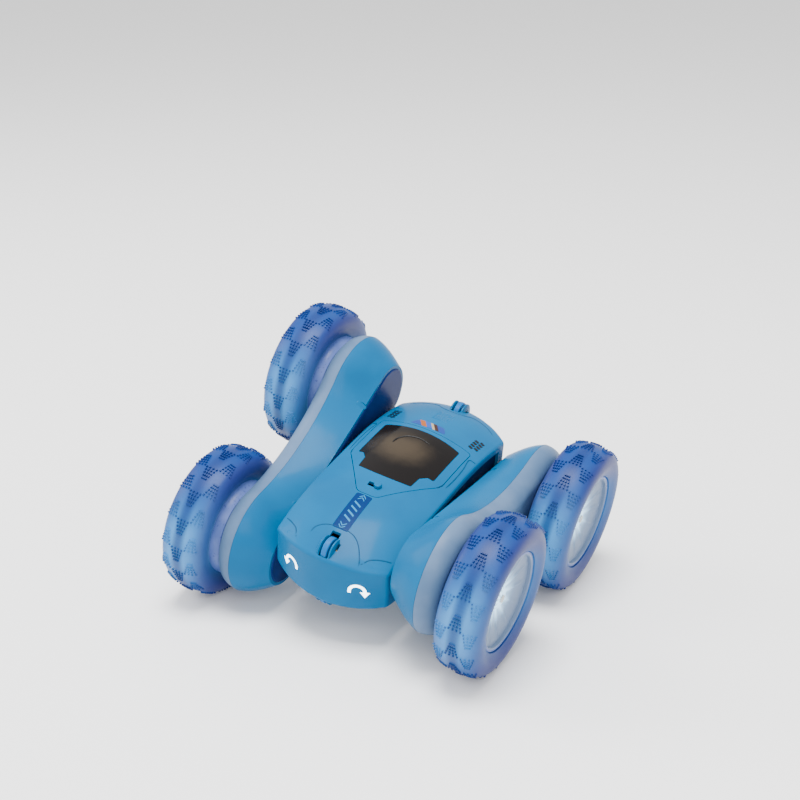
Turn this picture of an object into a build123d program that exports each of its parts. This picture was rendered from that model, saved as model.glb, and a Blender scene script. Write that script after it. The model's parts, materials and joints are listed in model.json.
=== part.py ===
"""Double-sided swing-arm stunt car, in millimetres.

A flat car body hangs on a crosswise pivot between two long arms, and each arm carries two
wheels. The car stands on the floor (z = 0) on three wheels: the right arm is pitched up at
the back, so body and arms lean towards the left arm. The left arm is at +X, the nose points
to -Y and +Z is up. The origin is the middle of the overall box, on the floor.
"""

from build123d import *
from math import acos, atan, cos, pi, radians, sin, sqrt, tan
import os

# --- driving dimensions: general ------------------------------------------------------
wall = 1.6  # moulded wall of every shell
seam = 0.15  # gap between two mouldings of one assembly
running = 0.05  # radial clearance of a turning shaft
clear = 0.3  # gap beside a piece that moves or lifts out

# --- driving dimensions: stance -------------------------------------------------------
arm_pitch = 35.4  # right arm, nose end down, in degrees
body_pitch = 12.5  # body, nose down, in degrees

# --- driving dimensions: gears --------------------------------------------------------
gear_module = 0.75
pinion_teeth = 12
idler_teeth = 36
wheel_gear_teeth = 48
swing_gear_teeth = 40
tooth_tip = 0.8  # addendum, in modules
tooth_root = 1.2  # dedendum, in modules
backlash = 0.16
gear_width = 3.4
swing_gear_width = 4.0

# --- driving dimensions: wheels -------------------------------------------------------
wheel_radius = 40.0
tyre_half_width = 12.2
crown_radius = 26.0  # of the tread, across the tyre
crown_half_width = 8.5
tyre_thickness = 2.2
bead_radius = 25.5
bead_half_width = 10.2
hub_barrel = 2.0  # wall of the hub's barrel
hub_overhang = 2.8  # of the barrel, past the tyre towards the arm
hub_face_dish = 4.0
hub_boss_radius = 5.0
hub_boss_rise = 1.8
hub_disc = 1.6  # thickness of the hub's face
hub_chamfer = 3.0
hub_edge = 1.7  # depth of the barrel's inner edge
rim_fit = 0.2  # radial, of the tyre on the hub
axle_radius = 2.0

# --- driving dimensions: arms ---------------------------------------------------------
plate_end_radius = 15.0
plate_end_at = 53.0  # centre of the plate's round end, along the arm
plate_waist = 14.2
plate_thickness = 2.0
arm_gap = 2.6  # from body side to arm plate
flare_depth = 17.7  # of the arm shell, along the pivot axis
lobe_radius = 30.0
waist_height = 20.5
dome_depth = 9.5  # of the outer shell
dome_edge = 7.0  # radius lost over the outer shell's rounded edge
flare_swell = 1.35  # power of the arm shell's swelling
axle_boss_radius = 4.2
plate_boss_depth = 5.0  # of the inner plate's axle bearings
gear_wall_boss = (3.0, 1.5)  # of the gear wall's bearings, inward and outward
stand_off_at = 31.0  # of the posts between inner plate and gear wall
stand_off_radius = 2.2
arm_screw_at = (33.0, 17.0)
post_radius = 2.3
idler_pin_radius = 1.5
idler_hub = 1.6  # wall of the hub round the idler's pin
light_strip_up = 9.2
light_strip = (4.6, 1.0)  # height and thickness
light_strip_past = 7.0  # past each axle
light_chip = (3.5, 2.8)

# --- driving dimensions: body ---------------------------------------------------------
body_half = 31.8
nose_reach = 74.0
tail_reach = 70.0
nose_corner_at = 63.5
tail_corner_at = 59.0
body_height = 26.0  # of one half, from the split plane to the roof
roof_radius = 68.0
shoulder_fillet = 2.2
corner_fillet = 3.0
window_border = 3.4  # of shell around the recessed side panel
window_ends = (-55.0, 52.0)
side_plate_thickness = 1.2

# --- driving dimensions: pivot, motors and rollers ------------------------------------
tube_radius = 7.0
tube_bore = 5.0
collar_radius = 9.6
flange_radius = 10.5
flange_thickness = 1.6
motor_radius = 6.0
motor_flat = 5.0  # half height over the flats
motor_shaft = 1.0
motor_boss = 2.6
motor_boss_rise = 1.0
motor_bore = 6.0  # depth of a motor's shaft hole
motor_away = 1.6  # from swing motor to its gear
swing_motor_bore = 6.4
collar_depth = 2.6  # of the pivot collar, inside the side plate
swing_motor_length = 15.0
roller_radius = 6.4
roller_width = 3.2
roller_pin = 0.9
roller_ear = 1.5  # thickness
roller_ear_radius = 3.3
roller_gap = 0.8  # beside the roller
ear_root = (10.0, 4.0)  # width of the ears' ribs and how far they start below the pin
pin_head_radius = 1.7
pin_head = 0.9
pin_fit = 0.02  # radial, of pins and screws in the holes that hold them
nose_roller_at = 66.0
nose_roller_up = 13.4
tail_roller_at = 66.5
tail_roller_up = 11.9
screw_radius = 1.2
screw_head_radius = 2.3
screw_head = 1.4

# --- driving dimensions: hatch, windshield and latch ----------------------------------
hatch_half = 26.5
hatch_rear = 29.2
hatch_shoulder = -4.0  # where its sides turn in towards the front
hatch_front = -33.0
hatch_front_half = 5.5
ledge_width = 1.4
ledge_thickness = 1.2
windshield_half = 21.7
windshield_rear = 24.0
windshield_front = -15.0
windshield_bow = 2.0
windshield_front_share = 0.69  # of the rear width
notch_up = 7.5  # of the windshield's notches, from its front corners
notch_length = 4.0
notch_depth = 3.2
notch_slope = 0.4
notch_lip = 0.6
windshield_fillet = 0.8
hatch_fillets = (2.0, 5.0, 8.0)  # rear, front and shoulders
lens_flange = 1.2
lens_flange_thickness = 0.9
latch_at = (2.2, -25.4)
latch_travel = 4.0
latch_stem = 2.2
latch_knob_radius = 2.0
latch_knob_rise = 1.7
latch_slider = (-7.2, 6.0)  # its ends, across the body
latch_slider_width = 3.6
latch_slider_thickness = 1.2
latch_knob_round = 0.4  # share of its rise

# --- driving dimensions: what the body holds ------------------------------------------
body_post_radius = 3.6
screw_pilot = 9.0
screw_thread = 8.0
body_post_across = 22.0
front_post_at = -46.0
rear_post_at = 44.0
screw_seat = 16.5  # depth of the screw heads' seat below the split plane
battery_size = (32.0, 38.0, 9.6)
battery_middle = 6.5
tray_floor_up = 9.3
tray_floor = 1.0
tray_wall = 1.2
tray_wall_share = 0.7  # of the battery's height
battery_corner = 2.0
tray_posts_at = (10.0, (-29.0, 33.5))  # across, and along in front and behind
tray_post_radius = 2.2
board_half = (17.0, 9.0)
board_middle = 46.0
board_down = 14.2
board_thickness = 1.4
board_post_radius = 2.0
board_post_in = 2.2  # from the board's edges
chip_height = 1.4
chips = [((-6.0, 1.0), (8.0, 8.0)), ((7.0, 3.0), (5.0, 4.0)), ((8.0, -4.0), (4.0, 3.0))]
socket_bore = 1.75
socket_radius = 3.4
socket_length = 7.3
socket_wall = 0.8  # behind its bore
opening_depth = 3.0  # below the board, where the shell's openings start
switch_travel = 3.0
switch_case = 3.8
switch_case_size = (9.0, 5.0)
switch_base = (7.5, 4.6, 0.8)
switch_button = (3.4, 2.6, 3.6)
lamp_across = 19.0
lamp_ring = 3.9
lamp_stroke = 1.5
lamp_down = -1.2  # of the ring's centre, from the split plane
lamp_cut = 1.0  # of the ring left below its centre
lamp_head = (2.4, 0.2, 3.2)  # half width, and its base and tip from the centre
lamp_root = 1.2  # of the lamps, behind the nose wall
lamp_board = (21.0, 8.0, 1.2)  # half width, height and thickness
lamp_board_at = 62.4
lamp_chip = (1.5, 1.5, 3.6)  # its place in from the lamp, radius and length
cradle_at = (8.0, 16.0)  # of the ribs that carry the swing motors
cradle_rib = (1.6, 4.0)
cradle_in = 3.4  # from the motors' middle
lamp_rib_at = 13.0
lamp_rib = (1.4, 5.0)
lamp_rib_down = 4.0

# --- derived: gear centres and the wheels' places -------------------------------------
pinion_radius = gear_module * pinion_teeth / 2
idler_radius = gear_module * idler_teeth / 2
wheel_gear_radius = gear_module * wheel_gear_teeth / 2
swing_gear_radius = gear_module * swing_gear_teeth / 2
idler_at = pinion_radius + idler_radius
half_wheelbase = idler_at + idler_radius + wheel_gear_radius
swing_centres = pinion_radius + swing_gear_radius

# --- derived: stations along the pivot axis, outward from the middle ------------------
plate_in = body_half + arm_gap
plate_out = plate_in + plate_thickness
flare_in = plate_in + seam * 4
flare_out = flare_in + flare_depth
dome_in = flare_out + seam
dome_out = dome_in + dome_depth
gear_wall_in = flare_out - wall
gear_in = flare_out + 2.0
gear_out = gear_in + gear_width
hub_in = dome_out + 0.6
tyre_mid = hub_in + hub_overhang + tyre_half_width
axle_in = plate_out + 1.5
axle_out = tyre_mid + tyre_half_width / 2
side_plate_out = body_half - wall - seam
side_plate_in = side_plate_out - side_plate_thickness
collar_out = plate_in - 0.8
swing_gear_out = side_plate_in - 3.4
swing_gear_in = swing_gear_out - swing_gear_width
tube_in = swing_gear_in - 1.5

# --- derived: stance ------------------------------------------------------------------
# Two wheels of the level arm and the front wheel of the pitched arm touch the floor.
roll = atan(half_wheelbase * sin(radians(arm_pitch)) / (2 * tyre_mid))
pivot_up = (
    tyre_mid * sin(roll) + (wheel_radius - crown_radius) * cos(roll) + crown_radius
)
pivot_across = sin(roll) * half_wheelbase * sin(radians(arm_pitch)) / 2


def tilted(pitch, side=1):
    """Frame at the pivot: rolled with the car, pitched nose down, X pointing to the side."""
    turn = radians(pitch)
    return Plane(
        origin=(pivot_across, 0, pivot_up),
        x_dir=(side * cos(roll), 0, -side * sin(roll)),
        z_dir=(sin(roll) * cos(turn), -sin(turn), cos(roll) * cos(turn)),
    )


def inside(frame, plane):
    """The plane that a frame's own coordinates describe."""
    return Plane(frame.location * plane.location)


body_frame = tilted(body_pitch)
arms = {"left": tilted(0), "right": tilted(arm_pitch, side=-1)}
body_sides = {
    "left": body_frame,
    "right": inside(body_frame, Plane(origin=(0, 0, 0), x_dir=(-1, 0, 0), z_dir=(0, 0, 1))),
}
ends = {"front": -1, "rear": 1}


def in_body(plane):
    """A plane given in the body's own frame."""
    return inside(body_frame, plane)


def across(frame, out, along=0.0, up=0.0):
    """Plane square to the pivot axis, facing outward, at a station of a side's frame."""
    return inside(frame, Plane(origin=(out, along, up), x_dir=(0, 1, 0), z_dir=(1, 0, 0)))


def profile_plane(frame, along=0.0, up=0.0):
    """Plane through an axle: sketch x runs outward along it and sketch y is the radius."""
    return inside(frame, Plane(origin=(0, along, up), x_dir=(1, 0, 0), z_dir=(0, -1, 0)))


def axle_line(frame, along=0.0, up=0.0):
    """The axis of an axle of a side's frame."""
    plane = profile_plane(frame, along, up)
    return Axis(plane.origin, plane.x_dir)


def wheel_along(side, end):
    """Where a wheel's axle lies along its arm, in the arm's own frame."""
    return half_wheelbase * ends[end] * (1 if side == "left" else -1)


def keep(builder, name):
    """Label a finished piece and write it."""
    builder.part.label = name
    export_step(builder.part, f"parts/{name}.step")


# --- shared outlines ------------------------------------------------------------------
def tooth_half_angle(teeth, radius):
    """Half the angle that an involute tooth spans at a radius, less half the backlash."""
    pitch_radius = gear_module * teeth / 2
    pressure = radians(20)
    base_radius = pitch_radius * cos(pressure)
    here = acos(min(1.0, base_radius / radius))
    roll_off = (tan(pressure) - pressure) - (tan(here) - here)
    return pi / (2 * teeth) - backlash / (4 * pitch_radius) + roll_off


def gear_outline(teeth, tooth_on_axis=True):
    """Straight-flanked copy of an involute gear, a tooth or a gap lying on sketch X."""
    pitch_radius = gear_module * teeth / 2
    root = pitch_radius - tooth_root * gear_module
    tip = pitch_radius + tooth_tip * gear_module
    start = 0.0 if tooth_on_axis else pi / teeth
    flank = [(radius, tooth_half_angle(teeth, radius)) for radius in (root, pitch_radius, tip)]
    points = []
    for tooth in range(teeth):
        middle = start + 2 * pi * tooth / teeth
        rising = [(radius, middle - half) for radius, half in flank]
        falling = [(radius, middle + half) for radius, half in reversed(flank)]
        points += [(r * cos(a), r * sin(a)) for r, a in rising + falling]
    with BuildLine() as line:
        Polyline(*points, close=True)
    return line.line


def waisted(end_radius, end_at, waist):
    """Two round ends joined by two hollow arcs that touch them, waist high in the middle."""
    hollow = (end_at**2 + waist**2 - end_radius**2) / (2 * (end_radius - waist))
    hollow_up = hollow + waist
    reach = end_radius / (end_radius + hollow)
    touch_along = end_at * (1 - reach)
    touch_up = hollow_up * reach
    with BuildLine() as line:
        ThreePointArc(
            (touch_along, -touch_up), (end_at + end_radius, 0), (touch_along, touch_up)
        )
        ThreePointArc((touch_along, touch_up), (0, waist), (-touch_along, touch_up))
        ThreePointArc(
            (-touch_along, touch_up), (-end_at - end_radius, 0), (-touch_along, -touch_up)
        )
        ThreePointArc((-touch_along, -touch_up), (0, -waist), (touch_along, -touch_up))
    return line.line


os.makedirs("parts", exist_ok=True)

# --- arm shells -----------------------------------------------------------------------
flare_end_radius = plate_end_radius + wall + seam
flare_end_at = plate_end_at
flare_waist = plate_waist + wall + seam


def flare_sizes(station, skin):
    """End radius, end centre and waist of the arm shell at a station, less a skin."""
    share = min(1.0, (station - flare_in) / flare_depth)
    eased = 1 - (1 - share) ** flare_swell
    radius = flare_end_radius + (lobe_radius - flare_end_radius) * eased
    centre = flare_end_at + (half_wheelbase - flare_end_at) * eased
    waist = flare_waist + (waist_height - flare_waist) * eased
    return radius - skin, centre, waist - skin


def flare_space(frame, skin, station_in, station_out):
    """The flared space between two stations, by loft over four outlines."""
    with BuildPart() as space:
        for step in range(4):
            station = station_in + (station_out - station_in) * step / 3
            with BuildSketch(across(frame, station)):
                add(waisted(*flare_sizes(station, skin)))
                make_face()
        loft()
    return space.part


def dome_space(frame, skin):
    """The outer shell's domed space: its edge is a quarter round in section."""
    with BuildPart() as space:
        for angle in (0, 25, 50, 72, 90):
            lost = dome_edge * (1 - cos(radians(angle)))
            station = dome_in + (dome_depth - skin) * sin(radians(angle))
            with BuildSketch(across(frame, station)):
                add(waisted(lobe_radius - skin - lost, half_wheelbase, waist_height - skin - lost))
                make_face()
        loft()
    return space.part


def four_ways(along, up):
    """The four mirror places of a point."""
    return [(a, u) for a in (-along, along) for u in (-up, up)]


for side, frame in arms.items():
    axle_places = [(-half_wheelbase, 0), (half_wheelbase, 0)]

    # flat inner plate with stand-offs, blind axle bearings and the hole for the tube
    with BuildPart() as inner_plate:
        with BuildSketch(across(frame, plate_in)):
            add(waisted(plate_end_radius, plate_end_at, plate_waist))
            make_face()
        extrude(amount=plate_thickness)
        body_side = inner_plate.faces().sort_by(axle_line(frame))[0]
        fillet(body_side.edges(), plate_thickness * 0.4)
        with BuildSketch(across(frame, plate_out)):
            with Locations((-stand_off_at, 0), (stand_off_at, 0)):
                Circle(stand_off_radius)
        extrude(amount=gear_wall_in - plate_out - seam)
        with BuildSketch(across(frame, plate_out)):
            with Locations(*axle_places):
                Circle(axle_boss_radius)
        extrude(amount=plate_boss_depth)
        with BuildSketch(across(frame, axle_in - seam)):
            with Locations(*axle_places):
                Circle(axle_radius + running)
        extrude(amount=2 * plate_boss_depth, mode=Mode.SUBTRACT)
        with BuildSketch(across(frame, plate_in)):
            Circle(tube_radius + running)
        extrude(amount=plate_thickness, mode=Mode.SUBTRACT)
    keep(inner_plate, f"{side}_inner_plate")

    # flared shell, open towards the body, with the gear wall at its wide end
    with BuildPart() as arm_shell:
        add(flare_space(frame, 0, flare_in, flare_out))
        add(flare_space(frame, wall, flare_in, gear_wall_in), mode=Mode.SUBTRACT)
        with BuildSketch(across(frame, gear_wall_in - gear_wall_boss[0])):
            with Locations(*axle_places):
                Circle(axle_boss_radius)
        extrude(amount=sum(gear_wall_boss) + wall)
        with BuildSketch(across(frame, flare_out)):
            with Locations((-idler_at, 0), (idler_at, 0)):
                Circle(idler_pin_radius)
        extrude(amount=dome_depth - wall)
        with BuildSketch(across(frame, flare_in)):
            Circle(motor_boss + running)
            with Locations(*axle_places):
                Circle(axle_radius + running)
            with Locations(*four_ways(*arm_screw_at)):
                Circle(screw_radius + clear)
        extrude(amount=2 * flare_depth, mode=Mode.SUBTRACT)
    keep(arm_shell, f"{side}_arm_shell")

    # domed outer shell with screw posts and axle bearings
    with BuildPart() as outer_shell:
        add(dome_space(frame, 0))
        add(dome_space(frame, wall), mode=Mode.SUBTRACT)
        with BuildSketch(across(frame, dome_in)):
            with Locations(*four_ways(*arm_screw_at)):
                Circle(post_radius)
        extrude(amount=dome_depth - wall / 2)
        with BuildSketch(across(frame, gear_out + clear)):
            with Locations(*axle_places):
                Circle(axle_boss_radius)
        extrude(until=Until.NEXT)
        with BuildSketch(across(frame, dome_in)):
            with Locations(*axle_places):
                Circle(axle_radius + running)
        extrude(amount=dome_depth + 1, mode=Mode.SUBTRACT)
        with BuildSketch(across(frame, dome_in)):
            with Locations(*four_ways(*arm_screw_at)):
                Circle(screw_radius + pin_fit)
        extrude(amount=dome_depth - 2 * wall, mode=Mode.SUBTRACT)
    keep(outer_shell, f"{side}_outer_shell")

    # screws from the arm shell's inside into the outer shell's posts
    with BuildPart() as arm_screws:
        with BuildSketch(across(frame, gear_wall_in - screw_head)):
            with Locations(*four_ways(*arm_screw_at)):
                Circle(screw_head_radius)
        extrude(amount=screw_head)
        with BuildSketch(across(frame, gear_wall_in)):
            with Locations(*four_ways(*arm_screw_at)):
                Circle(screw_radius)
        extrude(amount=wall + dome_depth * 0.55)
    keep(arm_screws, f"{side}_arm_screws")

    # hollow pivot tube: flange under the inner plate, swing gear inside the body
    with BuildPart() as pivot_shaft:
        with BuildSketch(across(frame, tube_in)):
            Circle(tube_radius)
        extrude(amount=plate_out - tube_in)
        with BuildSketch(across(frame, plate_out)):
            Circle(flange_radius)
        extrude(amount=flange_thickness)
        with BuildSketch(across(body_sides[side], swing_gear_in)):
            add(gear_outline(swing_gear_teeth))
            make_face()
        extrude(amount=swing_gear_width)
        with BuildSketch(across(frame, tube_in)):
            Circle(tube_bore)
        extrude(amount=plate_out + flange_thickness - tube_in, mode=Mode.SUBTRACT)
    keep(pivot_shaft, f"{side}_pivot_shaft")

    # drive motor on the pivot axis, held by its boss in the gear wall
    with BuildPart() as drive_motor:
        with BuildSketch(across(frame, plate_out + flange_thickness + seam)):
            Circle(motor_radius)
            Rectangle(2 * motor_radius, 2 * motor_flat, mode=Mode.INTERSECT)
        extrude(amount=gear_wall_in - plate_out - flange_thickness - 2 * seam)
        with BuildSketch(across(frame, gear_wall_in - seam)):
            Circle(motor_boss)
        extrude(amount=seam + wall)
        with BuildSketch(across(frame, gear_wall_in - motor_bore)):
            Circle(motor_shaft + running)
        extrude(amount=motor_bore + wall, mode=Mode.SUBTRACT)
    keep(drive_motor, f"{side}_drive_motor")

    # motor pinion with its shaft
    with BuildPart() as drive_pinion:
        with BuildSketch(across(frame, gear_in)):
            add(gear_outline(pinion_teeth))
            make_face()
        extrude(amount=gear_width)
        with BuildSketch(across(frame, gear_wall_in - motor_bore + seam)):
            Circle(motor_shaft)
        extrude(amount=gear_out - gear_wall_in + motor_bore - seam)
    keep(drive_pinion, f"{side}_drive_pinion")

    # idler gears on the arm shell's pins
    for end in ends:
        place = idler_at * ends[end] * (1 if side == "left" else -1)
        with BuildPart() as idler:
            with BuildSketch(across(frame, gear_in, place)):
                add(gear_outline(idler_teeth, tooth_on_axis=False))
                make_face()
                Circle(idler_pin_radius + running, mode=Mode.SUBTRACT)
            extrude(amount=gear_width)
            with BuildSketch(across(frame, flare_out + clear, place)):
                Circle(idler_pin_radius + idler_hub)
                Circle(idler_pin_radius + running, mode=Mode.SUBTRACT)
            extrude(amount=gear_in - flare_out - clear)
        keep(idler, f"{side}_{end}_idler")

    # strip board with one lamp behind each wheel, glued inside the outer shell
    board_in = gear_out + 2 * clear
    with BuildPart() as light_board:
        with BuildSketch(across(frame, board_in, 0, light_strip_up)):
            Rectangle(2 * (half_wheelbase + light_strip_past), light_strip[0])
        extrude(amount=light_strip[1])
        with BuildSketch(across(frame, board_in + light_strip[1], 0, light_strip_up)):
            with Locations(*axle_places):
                Rectangle(*light_chip)
        extrude(amount=dome_out - wall - board_in - light_strip[1] - seam)
    keep(light_board, f"{side}_arm_light_board")


# --- wheels ---------------------------------------------------------------------------
def tyre_section(skin):
    """Half section of the tyre across its width, less a skin, down to below the bead."""
    crown = crown_radius - skin
    crown_centre = wheel_radius - crown_radius
    shoulder = crown_half_width - skin * 0.5
    shoulder_up = crown_centre + sqrt(crown**2 - shoulder**2)
    widest = tyre_half_width - skin
    widest_up = bead_radius + (wheel_radius - bead_radius) * 0.42
    bead = bead_half_width - skin
    foot = bead_radius - skin
    with BuildLine() as line:
        crown_arc = ThreePointArc(
            (-shoulder, shoulder_up), (0, crown_centre + crown), (shoulder, shoulder_up)
        )
        right = Spline(
            crown_arc @ 1,
            (widest, widest_up),
            (bead, foot),
            tangents=(crown_arc % 1, (-0.45, -1)),
        )
        left = Spline(
            crown_arc @ 0,
            (-widest, widest_up),
            (-bead, foot),
            tangents=((crown_arc % 0) * -1, (0.45, -1)),
        )
        Line(right @ 1, left @ 1)
    return line.line


rim_radius = bead_radius - rim_fit
barrel_out = bead_half_width - rim_fit * 3


def hub_section():
    """Barrel, dished outer face and axle boss, as a half section above the axle."""
    edge_in = hub_in - tyre_mid
    bore = rim_radius - hub_barrel
    disc_at = barrel_out - hub_barrel
    middle_at = disc_at - hub_face_dish
    boss_side = hub_boss_radius + hub_barrel
    with BuildLine() as line:
        Polyline(
            (edge_in, bore - hub_disc),
            (edge_in, rim_radius - hub_edge),
            (edge_in + hub_chamfer, rim_radius),
            (barrel_out, rim_radius),
            (barrel_out, bore),
            (disc_at, bore),
            (middle_at, boss_side),
            (middle_at + hub_boss_rise, hub_boss_radius - clear * 2),
            (middle_at + hub_boss_rise, 0),
            (edge_in, 0),
            (edge_in, hub_boss_radius),
            (middle_at - hub_disc, hub_boss_radius),
            (middle_at - hub_disc, boss_side),
            (disc_at - hub_disc, bore),
            (edge_in + hub_chamfer, bore),
            close=True,
        )
    return line.line


for side, frame in arms.items():
    for end in ends:
        along = wheel_along(side, end)
        wheel_plane = profile_plane(frame, along)
        middle = Plane(
            origin=wheel_plane.origin + wheel_plane.x_dir * tyre_mid,
            x_dir=wheel_plane.x_dir,
            z_dir=wheel_plane.z_dir,
        )
        axis = axle_line(frame, along)

        # soft hollow tyre, open towards the hub
        with BuildPart() as tyre:
            with BuildSketch(middle):
                add(tyre_section(0))
                make_face()
            revolve(axis=axis)
            with BuildSketch(middle):
                add(tyre_section(tyre_thickness))
                make_face()
            revolve(axis=axis, mode=Mode.SUBTRACT)
        keep(tyre, f"{side}_{end}_tyre")

        # moulded hub: barrel under the tyre, dished face, boss pressed on the axle
        with BuildPart() as hub:
            with BuildSketch(middle):
                add(hub_section())
                make_face()
            revolve(axis=axis)
            with BuildSketch(across(frame, hub_in, along)):
                Circle(axle_radius + running)
            extrude(amount=axle_out - hub_in + seam, mode=Mode.SUBTRACT)
        keep(hub, f"{side}_{end}_hub")

        # steel axle with the wheel gear
        with BuildPart() as axle:
            with BuildSketch(across(frame, axle_in, along)):
                Circle(axle_radius)
            extrude(amount=axle_out - axle_in)
            with BuildSketch(across(frame, gear_in, along)):
                add(gear_outline(wheel_gear_teeth))
                make_face()
            extrude(amount=gear_width)
        keep(axle, f"{side}_{end}_axle")


# --- body: shared space ---------------------------------------------------------------
# Side view of the roof: place along the body and height, as shares of reach and height.
roof_points = [
    (-1.08, 0.40),
    (-0.92, 0.62),
    (-0.80, 0.755),
    (-0.63, 0.88),
    (-0.47, 0.945),
    (-0.27, 0.98),
    (0.0, 1.0),
    (0.14, 1.0),
    (0.37, 0.97),
    (0.60, 0.865),
    (0.86, 0.673),
    (0.95, 0.56),
    (1.08, 0.38),
]
arch_half = body_half + 2.0
space_base = 14.0


def arch_drop(across_at):
    """How far the arched roof has fallen at a distance from the centre line."""
    return roof_radius - sqrt(roof_radius**2 - across_at**2)


def roof_station(share):
    """Distance along the body of a share of the nose's or the tail's reach."""
    return share * (nose_reach if share < 0 else tail_reach)


def roof_height(along):
    """Height of the roof's centre line, between the roof points in straight steps."""
    stations = [(roof_station(share), body_height * high) for share, high in roof_points]
    for (low, low_up), (high, high_up) in zip(stations, stations[1:]):
        if along <= high:
            return low_up + (high_up - low_up) * (along - low) / (high - low)
    return stations[-1][1]


def plan_outline(inset):
    """Plan view of the body, less an inset: bowed nose and tail, straight sides."""
    side_at = body_half - inset
    with BuildLine() as line:
        nose = ThreePointArc(
            (-side_at, -nose_corner_at), (0, -nose_reach + inset), (side_at, -nose_corner_at)
        )
        tail = ThreePointArc(
            (side_at, tail_corner_at), (0, tail_reach - inset), (-side_at, tail_corner_at)
        )
        Line(nose @ 1, tail @ 0)
        Line(tail @ 1, nose @ 0)
    return line.line


def roof_space(skin=0.0, inset=None):
    """Space under the upper roof and inside the plan outline, less a skin."""
    inset = skin if inset is None else inset
    with BuildPart() as space:
        for share, high in roof_points:
            top = body_height * high - skin
            edge = top - arch_drop(arch_half)
            with BuildSketch(in_body(Plane.XZ.offset(-roof_station(share)))):
                with BuildLine():
                    Line((-arch_half, -space_base), (arch_half, -space_base))
                    Line((arch_half, -space_base), (arch_half, edge))
                    ThreePointArc((arch_half, edge), (0, top), (-arch_half, edge))
                    Line((-arch_half, edge), (-arch_half, -space_base))
                make_face()
        loft()
        with BuildSketch(in_body(Plane.XY)) as plan:
            add(plan_outline(inset))
            make_face()
            fillet(plan.vertices(), corner_fillet)
        extrude(amount=2 * body_height, mode=Mode.INTERSECT)
    return space.part


def flipped(solid):
    """The same solid on the lower side of the body's split plane."""
    return mirror(solid, about=in_body(Plane.XY))


# --- body: shells ---------------------------------------------------------------------
body_up = Axis(body_frame.origin, body_frame.z_dir)
slot_half = roller_width / 2 + roller_gap
rollers = {
    "nose": (-nose_roller_at, nose_roller_up),
    "tail": (tail_roller_at, tail_roller_up),
}
post_places = [
    (x, y) for x in (-body_post_across, body_post_across) for y in (front_post_at, rear_post_at)
]


def side_top(along, below):
    """Height of the shell's side wall at a station, less a border."""
    return roof_height(along) - arch_drop(body_half) - below


def window_top(below, grow=0.0):
    """Points along the top of the side window."""
    low, high = window_ends[0] - grow, window_ends[1] + grow
    stations = [low + (high - low) * share for share in (0, 0.2, 0.4, 0.6, 0.8, 1)]
    return [(along, side_top(along, below)) for along in stations]


def half_shell():
    """Upper half of the body's skin with its screw posts, roller pockets and windows."""
    with BuildPart() as inner_works:
        with BuildSketch(in_body(Plane.XY)):
            with Locations(*post_places):
                Circle(body_post_radius)
        extrude(amount=body_height)
        for along, up in rollers.values():
            for x in (-slot_half - roller_ear, slot_half):
                with BuildSketch(across(body_frame, x, along, up - ear_root[1])):
                    Rectangle(ear_root[0], body_height, align=(Align.CENTER, Align.MIN))
                extrude(amount=roller_ear)
        add(roof_space(wall / 2), mode=Mode.INTERSECT)
    with BuildPart() as half:
        add(roof_space())
        fillet(half.faces().sort_by(body_up)[-1].edges(), shoulder_fillet)
        add(roof_space(wall), mode=Mode.SUBTRACT)
        add(inner_works.part)
        for along, up in rollers.values():
            for x in (-slot_half - roller_ear, slot_half):
                with BuildSketch(across(body_frame, x, along, up)):
                    Circle(roller_ear_radius)
                extrude(amount=roller_ear)
            with BuildSketch(across(body_frame, -slot_half, along, up)):
                Circle(roller_radius + clear)
                Rectangle(
                    2 * (roller_radius + clear), body_height, align=(Align.CENTER, Align.MIN)
                )
            extrude(amount=2 * slot_half, mode=Mode.SUBTRACT)
            with BuildSketch(across(body_frame, -body_half, along, up)):
                Circle(roller_pin + pin_fit)
            extrude(amount=2 * body_half, mode=Mode.SUBTRACT)
            with BuildSketch(across(body_frame, slot_half + roller_ear, along, up)):
                Circle(pin_head_radius + clear)
                Rectangle(
                    2 * (pin_head_radius + clear), body_height, align=(Align.CENTER, Align.MIN)
                )
            extrude(amount=pin_head + clear, mode=Mode.SUBTRACT)
        for side_frame in body_sides.values():
            facing = 1 if side_frame is body_frame else -1
            points = [(facing * y, z) for y, z in window_top(window_border)]
            with BuildSketch(across(side_frame, body_half - wall - seam)):
                with BuildLine():
                    Spline(*points)
                    Polyline(points[-1], (points[-1][0], -1), (points[0][0], -1), points[0])
                make_face()
            extrude(amount=wall + 1, mode=Mode.SUBTRACT)
    return half.part


def prism(outline, low=-2 * body_height, high=2 * body_height):
    """A plan outline of the body as a prism."""
    with BuildPart() as solid:
        with BuildSketch(in_body(Plane.XY.offset(low))):
            add(outline)
        extrude(amount=high - low)
    return solid.part


def hatch_plan(grow=0.0):
    """Plan of the hatch: straight rear and sides, drawn in to a blunt front."""
    with BuildSketch() as sketch:
        Polygon(
            (hatch_half, hatch_rear),
            (-hatch_half, hatch_rear),
            (-hatch_half, hatch_shoulder),
            (-hatch_front_half, hatch_front),
            (hatch_front_half, hatch_front),
            (hatch_half, hatch_shoulder),
            align=None,
        )
        rear, front, shoulders = hatch_fillets
        fillet(sketch.vertices().group_by(Axis.Y)[-1], rear)
        fillet(sketch.vertices().group_by(Axis.Y)[0], front)
        fillet(sketch.vertices().filter_by(lambda v: abs(v.Y - hatch_shoulder) < seam), shoulders)
        offset(amount=grow)
    return sketch.sketch


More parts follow.
